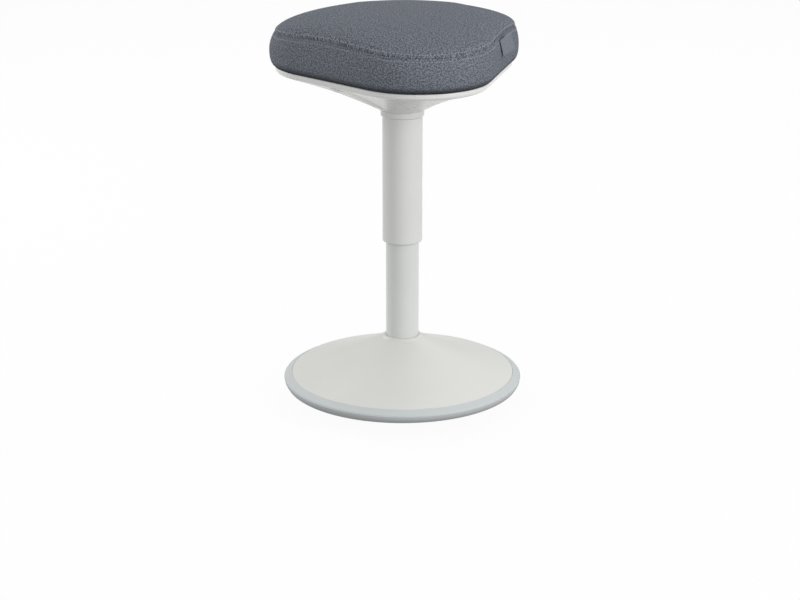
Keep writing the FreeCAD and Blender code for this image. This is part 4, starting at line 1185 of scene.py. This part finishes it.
    def inflate(self, piece: bpy.types.Object, points: Array, seam_ring: int) -> Array:
        """Fills the cover like a cushion: cloth under pressure, held at its seam and its foot.

        Args:
            piece: the cover.
            points: the cover's rings of points, in metres.
            seam_ring: the number of the seam's ring.
        Returns:
            The points where the cloth came to rest.
        """
        around = self.around
        held = piece.vertex_groups.new(name="held")
        for ring in (0, 1, 2, 3, seam_ring):
            held.add(list(range(ring * around, (ring + 1) * around)), 1.0, "REPLACE")
        cloth = piece.modifiers.new("cloth", "CLOTH")
        cloth.settings.vertex_group_mass = "held"
        cloth.settings.use_pressure = True
        cloth.settings.uniform_pressure_force = self.pressure
        cloth.settings.quality = 5
        cloth.settings.tension_stiffness = self.stiffness
        cloth.settings.compression_stiffness = self.stiffness
        cloth.settings.bending_stiffness = self.bending
        cloth.settings.effector_weights.gravity = 0.0
        cloth.point_cache.frame_start = 1
        cloth.point_cache.frame_end = self.cloth_frames
        for number in range(1, self.cloth_frames + 1):
            bpy.context.scene.frame_set(number)
        puffed = piece.evaluated_get(bpy.context.evaluated_depsgraph_get()).data
        found = np.zeros(len(puffed.vertices) * 3)
        puffed.vertices.foreach_get("co", found)
        piece.modifiers.remove(cloth)
        bpy.context.scene.frame_set(1)
        return found[:points.size].reshape(points.shape)

    def away(self, points: Array, seam_ring: int) -> Array:
        """Distance of each point from the seam along the cover, in millimetres, negative below it.

        Args:
            points: the cover's rings of points, in metres.
            seam_ring: the number of the seam's ring.
        Returns:
            One distance for each point.
        """
        steps = np.linalg.norm(np.diff(points, axis=0), axis=2) / MM
        run = np.concatenate((np.zeros((1, self.around)), np.cumsum(steps, axis=0)))
        return run - run[seam_ring]

    def pull(self, points: Array, seam_ring: int) -> Array:
        """How far the sewing draws each point in, at the seam and under each row of stitches.

        Args:
            points: the cover's rings of points, in metres.
            seam_ring: the number of the seam's ring.
        Returns:
            One depth for each point, in millimetres.
        """
        away = self.away(points, seam_ring)
        side = np.abs(away)
        groove = self.groove * np.exp(-(away / self.groove_width) ** 2)
        from_stitch = (side - self.stitch_offset) / self.stitch_dip_width
        from_swell = (side - self.stitch_offset / 2) / self.swell_width
        dips = self.stitch_dip * np.exp(-from_stitch ** 2)
        return groove + dips - self.swell * np.exp(-from_swell ** 2)

    def thread_path(self, points: Array, seam_ring: int, offset: float) -> Array:
        """Points on the cover at a distance from the seam, one in each column.

        Args:
            points: the cover's rings of points, in metres.
            seam_ring: the number of the seam's ring.
            offset: the distance from the seam, in millimetres.
        Returns:
            The path's points.
        """
        away = self.away(points, seam_ring)
        return np.array([[np.interp(offset, away[:, column], points[:, column, axis])
                          for axis in range(3)] for column in range(self.around)])

    def dress(self, wardrobe: "Wardrobe", repeats: Repeats) -> None:
        """Builds the cushion, gives it its cloth and sews its rows of stitches.

        Args:
            wardrobe: the shared materials.
            repeats: the shared node groups for repeats.
        """
        piece, points, seam_ring = self.build()
        wardrobe.dress(piece, "seat_fabric", "seat", "seat_foam", "cover_side", "cover_top")
        # The seam row's dark beads are partly stitching and partly painted shade standing in for the
        # groove's shadow.
        rows = (StitchRow("stitches_above", self.stitch_offset),
                StitchRow("stitches_below", -self.stitch_offset),
                StitchRow("seam_thread", 0.0, 6.4, 1.8, "seam_thread"))
        for row in rows:
            path = self.thread_path(points, seam_ring, row.offset)
            size = (row.half, row.thick, row.thick)
            made = repeats.stitch(row.name, path, row.pitch, size, wardrobe.material(row.finish))
            wardrobe.dress(made, "seat_fabric", "seat", finish=row.finish)


@dataclass
class Pan:
    """The moulded tray under the cushion, with a slot for the release lever."""

    neck: float = 453.0
    neck_radius: float = 32.5
    shoulder: float = 505.5
    shoulder_plan: tuple[float, float] = (141.2, 185.7)
    rim_plan: tuple[float, float] = (147.0, 191.5)
    well_plan: tuple[float, float] = (141.3, 185.8)
    flange: float = 510.0
    top: float = 515.5
    flare: float = 4.0
    wall: float = 3.1
    bore: float = 30.0
    spigot_seat: float = 6.1
    inside_start: float = 0.08
    flange_draft: tuple[float, float] = (1.2, 0.6)
    around: int = 240
    cone_steps: int = 12

    def flared(self, share: float) -> float:
        """Height of the cone at a share of the way from its neck to its shoulder."""
        return self.neck + (self.shoulder - self.neck) * share + self.flare * 4 * share * (1 - share)

    def cone(self, start: float, drop: float, inset: float) -> list[Key]:
        """Corners along the flared cone, from a share of the way out to the shoulder.

        Args:
            start: the first share of the way out.
            drop: how far the corners are moved up.
            inset: how far they are moved in.
        Returns:
            The corners, from the axis outwards.
        """
        keys = []
        for share in np.linspace(start, 1.0, self.cone_steps):
            plan = [self.neck_radius + (far - self.neck_radius) * share - inset
                    for far in self.shoulder_plan]
            keys.append(Key(self.flared(share) + drop, *plan))
        return keys

    def keys(self) -> list[Key]:
        """The section's corners, up the outside and down the inside.

        Returns:
            The corners, wound as one closed loop.
        """
        outside = self.cone(0.0, 0.0, 0.0)
        inside = self.cone(self.inside_start, self.wall, 1.0)[::-1]
        drop, draft = self.flange_draft
        rim_side, rim_corner = self.rim_plan
        outside[0] = Key(self.neck, self.neck_radius, fillet=0.8)
        flange = [
            Key(self.shoulder, *self.shoulder_plan, 4.0),
            Key(self.flange - drop, rim_side - draft, rim_corner - draft, 3.2),
            Key(self.top, rim_side, rim_corner, 1.5),
            Key(self.top, *self.well_plan, 0.6)]
        collar = [
            Key(self.neck + self.spigot_seat, self.bore + 1.0, fillet=0.6),
            Key(self.neck + self.spigot_seat, self.bore),
            Key(self.neck, self.bore, fillet=0.3)]
        return outside[:-1] + flange + inside + collar

    def outside(self, x: Array, y: Array) -> Array:
        """Height of the cone's outside over points of the plan, in millimetres from the axis.

        Args:
            x: distances from the axis towards the front corner.
            y: distances across.
        Returns:
            One height for each point.
        """
        direction = np.arctan2(y, x)
        far = reach(direction, *self.shoulder_plan)
        share = (np.hypot(x, y) - self.neck_radius) / (far - self.neck_radius)
        return self.flared(share)

    def build(self, slot: Sequence[Point]) -> bpy.types.Object:
        """Makes the pan and cuts the lever's slot through it.

        Args:
            slot: the slot's outline.
        Returns:
            The new object.
        """
        piece = hoop("seat_pan_shell", self.keys(), self.around, SEAT_TURN)
        middle, depth, edge = 480.0, 100.0, 0.01
        place = Matrix.Rotation(LEVER_TURN, 4, "Z") @ Matrix.Translation((0, 0, middle))
        cutter = plate("slot_cutter", [slot], depth, edge, place)
        cut = piece.modifiers.new("slot", "BOOLEAN")
        cut.operation = "DIFFERENCE"
        cut.solver = "EXACT"
        cut.object = cutter
        applied(piece)
        bpy.data.objects.remove(cutter)
        return smooth(piece, 35.0)

    def dress(self, wardrobe: Wardrobe, slot: Sequence[Point]) -> bpy.types.Object:
        """Builds the pan and gives it its plastic."""
        return wardrobe.dress(self.build(slot), "pan_plastic", "seat", "seat_pan")


@dataclass
class Lever:
    """The release lever: a leaf-shaped blade in the pan's slot, on an arm that runs to the valve."""

    pan: Pan
    inner: float = 45.0
    outer: float = 134.0
    tip: float = 139.2
    inner_half: float = 7.0
    outer_half: float = 14.0
    thickness: float = 3.4
    proud: float = 1.0
    edge_proud: float = 0.2
    nub: float = 2.7
    nub_at: float = 132.0
    nub_half: tuple[float, float] = (4.0, 6.5)
    nub_swell: float = 0.35
    gap: float = 1.6
    pivot: Point = (36.0, 502.0)
    eye: float = 2.55
    arm_width: float = 9.0

    def half_width(self, x: Array) -> Array:
        """Half the blade's width, which grows outwards and rounds off at both ends.

        Args:
            x: distances from the column's axis.
        Returns:
            One half width for each distance.
        """
        full_before, tip_length, start_length = 6.0, 7.0, 5.0
        tip_loss, tip_power, start_share = 0.72, 2.2, 0.55
        share = np.clip((x - self.inner) / (self.outer - full_before - self.inner), 0, 1)
        width = self.inner_half + (self.outer_half - self.inner_half) * share
        fade = np.clip((x - (self.outer - tip_length)) / (self.tip - self.outer + tip_length), 0, 1)
        start = np.clip((x - self.inner) / start_length, 0, 1)
        tip = np.sqrt(np.clip(1 - tip_loss * fade ** tip_power, 0, 1))
        return width * tip * (start_share + (1 - start_share) * np.sqrt(start))

    def slot(self) -> list[Point]:
        """The outline of the pan's slot, a small gap outside the blade.

        Returns:
            Points along one side, round the tip and back along the other side.
        """
        end_share = 0.8
        x = np.linspace(self.inner, self.tip, 40)
        half = self.half_width(x) + self.gap
        x = np.concatenate(([self.inner - self.gap], x, [self.tip + self.gap]))
        half = np.concatenate(([half[0] * end_share], half, [half[-1] * end_share]))
        return list(zip(x, half)) + list(zip(x[::-1], -half[::-1]))

    def blade(self) -> bpy.types.Object:
        """Makes the blade as sections across it, each rounded at its edges.

        Returns:
            The new object.
        """
        stations = np.linspace(self.inner, self.tip, 70)
        around, edge_power, side_power = 48, 0.45, 0.6
        thin_start, thin_length = 0.35, 3.0
        nub_long, nub_wide = self.nub_half
        angles = np.arange(around) * math.tau / around
        turn = LEVER_TURN - SEAT_TURN
        points = np.zeros((len(stations), around, 3))
        for index, x in enumerate(stations):
            half = float(self.half_width(np.array(x)))
            across = half * np.sign(np.cos(angles)) * np.abs(np.cos(angles)) ** edge_power
            local_x = x * math.cos(turn) - across * math.sin(turn)
            local_y = x * math.sin(turn) + across * math.cos(turn)
            skin = self.pan.outside(local_x, local_y)
            bulge = self.proud * (1 - (across / half) ** 2) + self.edge_proud
            nub = self.nub * math.exp(-((x - self.nub_at) / nub_long) ** 2)
            nub = nub * np.exp(-(across / nub_wide) ** 2)
            end = min(x - self.inner, self.tip - x)
            thin = self.thickness * min(1.0, thin_start + end / thin_length)
            half_thick = thin / 2 + nub * self.nub_swell
            lift = np.sign(np.sin(angles)) * np.abs(np.sin(angles)) ** side_power
            height = skin - bulge - nub + half_thick * (1 + lift)
            points[index] = np.column_stack((np.full(around, x), across, height))
        points *= MM
        flat = points.reshape(-1, 3)
        spin = np.array(Matrix.Rotation(LEVER_TURN, 3, "Z"))
        points = (flat @ spin.T).reshape(points.shape)
        piece = weave_rings("lever_blade", points)
        mend(piece.data, outward=True)
        return piece

    def arm(self) -> bpy.types.Object:
        """Makes the arm from the blade over the pin to the valve, with its eye.

        Returns:
            The new object.
        """
        x, z = self.pivot
        start, root = self.inner + 1, self.inner + 16
        turn = LEVER_TURN - SEAT_TURN
        low = [float(self.pan.outside(at * np.cos(turn), at * np.sin(turn)))
               for at in (start, root)]
        outline = [
            (start, low[0] + 1.9), (root, low[1] + 1.0), (x + 5.5, z), (x + 4, z + 3.6),
            (x, z + 3.5), (5.0, z + 2.5), (-5.0, z + 1.5), (-5.0, z - 2.3), (8.0, z - 2.3),
            (x - 6, z - 3), (x - 1, z - 5.5)]
        eye = disc_points(self.eye, centre=self.pivot)
        upright = Matrix.Rotation(LEVER_TURN, 4, "Z") @ Matrix.Rotation(math.pi / 2, 4, "X")
        return plate("lever_arm", [outline, eye], self.arm_width, 0.5, upright)

    def dress(self, wardrobe: Wardrobe) -> bpy.types.Object:
        """Builds blade and arm as one moulding."""
        piece = join("lever_moulding", [self.blade(), self.arm()])
        return wardrobe.dress(piece, "lever_plastic", "lever", "release_lever")


FOLD_ROOM = 0.6


@dataclass
class Label:
    """A folded woven label, sewn in at its near edge and standing a little off the side."""

    near: float = 5.0
    width: float = 33.5
    top: float = 573.2
    height: float = 23.5
    top_out: float = 157.9
    foot_out: float = 162.3
    ply: float = 0.35
    fold: float = 0.4
    fold_reach: float = 0.5
    crease_reach: float = 0.12
    curl: float = 1.1
    hollow: float = 0.5
    slant: float = 9.0
    rows: int = 22

    def slanted(self, points: Array) -> Array:
        """Turns the label a little in its own plane, so that its far edge stands higher.

        Args:
            points: the label's points, in millimetres, which are changed.
        Returns:
            The same points.
        """
        turn = math.radians(self.slant)
        across = points[..., 1] - self.near - self.width / 2
        up = points[..., 2] - self.top + self.height / 2
        points[..., 1] += across * (math.cos(turn) - 1) - up * math.sin(turn)
        points[..., 2] += across * math.sin(turn) + up * (math.cos(turn) - 1)
        return points

    def bend(self, half: float, reach_out: float, turns: Array) -> list[Point]:
        """Points round the fold at the label's far edge.

        Args:
            half: how far the bend reaches to each side.
            reach_out: how far it reaches past the plies.
            turns: the directions of its points.
        Returns:
            The bend's points.
        """
        far = self.near + self.width - FOLD_ROOM
        return [(self.fold + half * math.sin(turn), far + reach_out * math.cos(turn))
                for turn in turns]

    def section(self) -> list[Point]:
        """The loop of both plies, seen from above: the outside and then the inside.

        Returns:
            The loop's points: distance outwards and distance along the label.
        """
        inner = np.linspace(self.near, self.near + self.width - FOLD_ROOM, 16)
        quarter, thick = math.pi / 2, self.fold * 2
        path = [(0.0, y) for y in inner]
        path += self.bend(self.fold, self.fold_reach, np.linspace(-quarter, quarter, 9)[1:-1])
        path += [(thick, y) for y in inner[::-1]]
        path += [(thick - self.ply, y) for y in inner]
        path += self.bend(self.fold - self.ply, self.crease_reach,
                          np.linspace(quarter, -quarter, 7)[1:-1])
        return path + [(self.ply, y) for y in inner[::-1]]

    def build(self) -> bpy.types.Object:
        """Makes both plies of the label as one loop that folds at its far edge.

        Returns:
            The new object.
        """
        path, curl_at_top = self.section(), 0.4
        shares = np.linspace(0, 1, self.rows)
        spin = np.array(Matrix.Rotation(LABEL_TURN, 3, "Z"))
        points = np.zeros((self.rows, len(path), 3))
        for index, share in enumerate(shares):
            out = self.top_out + (self.foot_out - self.top_out) * share
            for step, (x, y) in enumerate(path):
                far = (y - self.near) / self.width
                curl = self.curl * far * far * (curl_at_top + share)
                curl -= self.hollow * math.sin(far * math.pi) * share
                points[index, step] = (out + x + curl, y, self.top - self.height * share)
        points = self.slanted(points)
        points = (points.reshape(-1, 3) @ spin.T).reshape(points.shape) * MM
        piece = weave_rings("woven_label", points)
        mend(piece.data, outward=True)
        layer = piece.data.uv_layers.new(name="cloth")
        back = np.array(Matrix.Rotation(-LABEL_TURN, 3, "Z"))
        for loop in piece.data.loops:
            place = back @ np.array(piece.data.vertices[loop.vertex_index].co)
            layer.data[loop.index].uv = (place[1], place[2])
        return smooth(piece, 50.0)

    def dress(self, wardrobe: Wardrobe) -> bpy.types.Object:
        """Builds the label and gives it its cloth."""
        return wardrobe.dress(self.build(), "label_fabric", "seat", "label_tag")


@dataclass
class Screw:
    """A pan-head screw that points up, with a cross recess in its head."""

    head_radius: float
    head_height: float
    shank_radius: float
    length: float
    recess: float = 1.3
    cross: tuple[float, float] = (0.58, 0.13)

    def build(self, name: str) -> bpy.types.Object:
        """Makes the screw with the underside of its head at height 0.

        Args:
            name: the new object's name.
        Returns:
            The new object.
        """
        low, floor = -self.head_height, -self.head_height + self.recess
        shank, head = self.shank_radius, self.head_radius
        body = hoop(name + "_body", [
            Key(floor, head), Key(0.0, head, fillet=0.3), Key(0.0, shank),
            Key(self.length - shank, shank), Key(self.length, 0.3)],
            around=24, closed=False, steps=2)
        arm, half = (head * share for share in self.cross)
        tip, cross = half * 0.7, []
        for quarter in range(4):
            turn = quarter * math.pi / 2
            ahead, aside = math.cos(turn), math.sin(turn)
            for x, y in ((half, -half), (arm, -tip), (arm, tip)):
                cross.append((x * ahead - y * aside, x * aside + y * ahead))
        rim = plate(name + "_rim", [disc_points(head), cross], self.recess, 0.25,
                    Matrix.Translation((0, 0, (low + floor) / 2)))
        return join(name, [body, rim])


SIXTHS = range(0, 360, 60)


@dataclass
class Base:
    """The trumpet-shaped cover, the rubber ring round its edge and the screws beneath."""

    rim: Point = (170.5, 42.5)
    collar_foot: Point = (31.7, 97.0)
    collar_top: Point = (28.2, 101.0)
    bore: float = 25.3
    wall: float = 3.0
    sag: float = 3.1
    land: float = 160.0
    stem_radius: float = 7.0
    stem_bite: float = 2.0
    screw_circle: float = 140.0
    screw_head: Point = (4.8, 2.64)
    screw_shank: float = 2.0

    def cover(self) -> bpy.types.Object:
        """Makes the cover as a thin turned moulding.

        Returns:
            The new object.
        """
        outside = arc(self.rim, self.collar_foot, self.sag, 28)
        inside = arc((self.bore, self.collar_foot[1] - self.wall - 0.5), (self.land, self.rim[1] + 1.0),
                     -self.sag, 12)
        keys = [Key(self.rim[1] - self.wall, self.rim[0], fillet=0.3),
                Key(self.rim[1], self.rim[0], fillet=0.9)]
        keys += [Key(height, radius) for radius, height in outside[1:-1]]
        keys += [Key(self.collar_foot[1], self.collar_foot[0], fillet=1.2),
                 Key(self.collar_top[1], self.collar_top[0], fillet=0.9),
                 Key(self.collar_top[1], self.bore, fillet=0.4)]
        keys += [Key(height, radius) for radius, height in inside]
        keys += [Key(self.rim[1] - self.wall, self.land)]
        return hoop("base_cover_shell", keys, steps=4)

    def stem(self) -> bpy.types.Object:
        """Makes one of the tubes under the cover that the screws bite into.

        Returns:
            The new object.
        """
        low, top, end, bite = 26.0, 48.6, 43.0, self.stem_bite
        return hoop("stem", [
            Key(low, self.stem_radius), Key(top, self.stem_radius), Key(top, 0.4), Key(end, 0.4),
            Key(end, bite), Key(low, bite, fillet=0.3)], around=24, steps=2)

    def ring(self) -> bpy.types.Object:
        """Makes the rubber ring, with the bead that parts its chamfer from its side.

        Returns:
            The new object.
        """
        return hoop("rim_ring_shell", [
            Key(20.8, 166.1), Key(24.0, 178.0, fillet=1.0), Key(29.5, 181.6, fillet=3.0),
            Key(35.2, 182.5, fillet=0.5), Key(35.8, 181.7, fillet=0.2), Key(36.9, 181.2, fillet=0.5),
            Key(42.5, 170.7, fillet=0.5), Key(39.5, 170.7), Key(39.5, 166.1)], around=256, steps=3)

    def screws(self, repeats: Repeats, material: bpy.types.Material) -> bpy.types.Object:
        """Makes the six screws in their recesses.

        Args:
            repeats: the shared node groups for repeats.
            material: the screws' material.
        Returns:
            The new object.
        """
        low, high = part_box("base_screws")
        radius, head = self.screw_head
        length = (high.z - low.z) / MM - head
        screw = Screw(radius, head, self.screw_shank, length).build("base_screw")
        places = at_angles(self.screw_circle, low.z + head * MM, SIXTHS)
        return repeats.copy("base_screw_set", screw, places, material)

    def dress(self, wardrobe: "Wardrobe", repeats: Repeats) -> None:
        """Builds the base's visible pieces and gives them their materials.

        Args:
            wardrobe: the shared materials.
            repeats: the shared node groups for repeats.
        """
        places = at_angles(self.screw_circle, 0.0, SIXTHS)
        stems = repeats.copy("stems", self.stem(), places, wardrobe.material("cover_plastic"))
        cover = join("base_cover_moulding", [self.cover(), stems])
        wardrobe.dress(cover, "cover_plastic", "base", "base_cover")
        wardrobe.dress(self.ring(), "rim_rubber", "base", "rim_ring")
        screws = self.screws(repeats, wardrobe.material("zinc_steel"))
        wardrobe.dress(screws, "zinc_steel", "base", "base_screws")


@dataclass
class Column:
    """The telescopic sleeve and the thrust bearing's balls."""

    sleeve_radius: float = 30.0
    wall: float = 2.2
    lip_radius: float = 25.3
    collar_radius: float = 32.5
    collar_height: float = 10.0
    spigot_height: float = 11.0
    ball_circle: float = 8.5
    ball_count: int = 8

    def sleeve(self) -> bpy.types.Object:
        """Makes the sleeve with its rolled lip, its collar and the spigot that enters the pan.

        Returns:
            The new object.
        """
        low, high = (corner.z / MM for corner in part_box("column_sleeve"))
        top, outer = high - self.spigot_height, self.sleeve_radius
        inner, spigot = outer - self.wall, outer - 0.1
        collar = top - self.collar_height
        return hoop("sleeve_shell", [
            Key(low, self.lip_radius, fillet=0.4), Key(low, outer, fillet=2.0),
            Key(collar, outer, fillet=0.5), Key(collar + 2.0, self.collar_radius, fillet=1.1),
            Key(top, self.collar_radius, fillet=0.7), Key(top, spigot),
            Key(high, spigot, fillet=0.3), Key(high, inner, fillet=0.3), Key(low + 3.0, inner),
            Key(low + 3.0, self.lip_radius, fillet=0.3)], around=128, steps=4)

    def balls(self, repeats: Repeats, material: bpy.types.Material) -> bpy.types.Object:
        """Makes the ring of bearing balls.

        Args:
            repeats: the shared node groups for repeats.
            material: the balls' material.
        Returns:
            The new object.
        """
        low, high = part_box("bearing_balls")
        body = bmesh.new()
        bmesh.ops.create_uvsphere(body, u_segments=20, v_segments=12, radius=(high.z - low.z) / 2)
        mesh = bpy.data.meshes.new("ball")
        body.to_mesh(mesh)
        body.free()
        turns = [360.0 / self.ball_count * number for number in range(self.ball_count)]
        places = at_angles(self.ball_circle, (low.z + high.z) / 2, turns)
        return repeats.copy("ball_set", link("ball", mesh), places, material)

    def dress(self, wardrobe: "Wardrobe", repeats: Repeats) -> None:
        """Builds the sleeve and the balls and gives them their materials.

        Args:
            wardrobe: the shared materials.
            repeats: the shared node groups for repeats.
        """
        wardrobe.dress(self.sleeve(), "sleeve_plastic", "seat", "column_sleeve")
        balls = self.balls(repeats, wardrobe.material("rod_chrome"))
        wardrobe.dress(balls, "rod_chrome", "rod", "bearing_balls")


@dataclass(frozen=True)
class Lamp:
    """A square soft light: where it stands, how wide it is and its power in watts."""

    name: str
    place: tuple[float, float, float]
    size: float
    power: float


@dataclass(frozen=True)
class Stage:
    """The floor, the light and the camera, in metres."""

    lamps: tuple[Lamp, ...] = (
        Lamp("key", (2.5, -1.5, 1.5), 1.3, 38.0),
        Lamp("front", (0.6, -3.2, 0.9), 1.4, 14.0),
        Lamp("edge", (-2.2, 1.2, 1.2), 1.2, 24.0),
        Lamp("back", (0.6, 2.4, 2.0), 1.6, 12.0))
    lamp_aim: tuple[float, float, float] = (0.0, 0.0, 0.35)
    floor_size: float = 12.0
    floor_grey: float = 0.38
    floor_glow: float = 1.06
    floor_glow_share: float = 0.9
    surround: float = 0.62
    camera_place: tuple[float, float, float] = (-0.0036, -2.8, 1.0885)
    camera_tilt: float = 71.56
    lens: float = 86.805
    sensor: float = 36.0

    def floor(self) -> None:
        """A white floor that shows as white to the camera and keeps the stool's soft shadow."""
        bpy.ops.mesh.primitive_plane_add(size=self.floor_size, location=(0, 0, 0))
        floor = bpy.context.object
        floor.name = "floor"
        material = bpy.data.materials.new("floor_white")
        material.use_nodes = True
        material.node_tree.nodes.clear()
        tree = Tree(material.node_tree)
        diffuse = tree.add("ShaderNodeBsdfDiffuse", {"Color": (self.floor_grey,) * 3 + (1.0,)})
        glow = tree.add("ShaderNodeEmission", {"Strength": self.floor_glow})
        path = tree.add("ShaderNodeLightPath")
        seen = tree.maths("MAXIMUM", path.outputs["Is Camera Ray"], path.outputs["Is Glossy Ray"])
        share = tree.maths("MULTIPLY", seen, self.floor_glow_share)
        mix = tree.add("ShaderNodeMixShader", {0: share, 1: diffuse.outputs[0], 2: glow.outputs[0]})
        tree.add("ShaderNodeOutputMaterial", {"Surface": mix.outputs[0]})
        floor.data.materials.append(material)

    def world(self) -> None:
        """An even white surround, pure white to the camera and softer as light."""
        world = bpy.data.worlds.new("surround")
        bpy.context.scene.world = world
        world.use_nodes = True
        world.node_tree.nodes.clear()
        tree = Tree(world.node_tree)
        path = tree.add("ShaderNodeLightPath")
        light = tree.add("ShaderNodeBackground", {
            "Color": (1.0, 1.0, 0.99, 1.0), "Strength": self.surround})
        white = tree.add("ShaderNodeBackground", {"Color": (1.0, 1.0, 1.0, 1.0), "Strength": 1.0})
        mix = tree.add("ShaderNodeMixShader", {
            0: path.outputs["Is Camera Ray"], 1: light.outputs[0], 2: white.outputs[0]})
        tree.add("ShaderNodeOutputWorld", {"Surface": mix.outputs[0]})

    def light(self, lamp: Lamp) -> None:
        """Adds one lamp, which faces the middle of the stool.

        Args:
            lamp: the lamp's place, size and power.
        """
        data = bpy.data.lights.new(lamp.name, "AREA")
        data.size = lamp.size
        data.energy = lamp.power
        holder = bpy.data.objects.new(lamp.name, data)
        holder.location = lamp.place
        facing = Vector(self.lamp_aim) - Vector(lamp.place)
        holder.rotation_euler = facing.to_track_quat("-Z", "Y").to_euler()
        bpy.context.scene.collection.objects.link(holder)

    def camera(self) -> None:
        """A camera at the photograph's angle."""
        data = bpy.data.cameras.new("camera")
        data.sensor_width = self.sensor
        data.lens = self.lens
        camera = bpy.data.objects.new("camera", data)
        camera.location = self.camera_place
        camera.rotation_euler = (math.radians(self.camera_tilt), 0, 0)
        bpy.context.scene.collection.objects.link(camera)
        bpy.context.scene.camera = camera

    def build(self) -> None:
        """Sets everything around the stool."""
        self.floor()
        self.world()
        for lamp in self.lamps:
            self.light(lamp)
        self.camera()
        bpy.context.scene.view_settings.view_transform = "Standard"


def main() -> None:
    """Builds the stool's pieces in order and dresses them."""
    logging.basicConfig(level=logging.INFO, format="%(relativeCreated)6d %(name)s %(message)s")
    Stage().build()
    wardrobe = Wardrobe()
    repeats = Repeats()
    wardrobe.dress_nodes()
    Base().dress(wardrobe, repeats)
    Column().dress(wardrobe, repeats)
    Cushion().dress(wardrobe, repeats)
    pan = Pan()
    lever = Lever(pan)
    pan.dress(wardrobe, lever.slot())
    lever.dress(wardrobe)
    Label().dress(wardrobe)
    log.info("size file written")


if __name__ == "__main__":
    main()
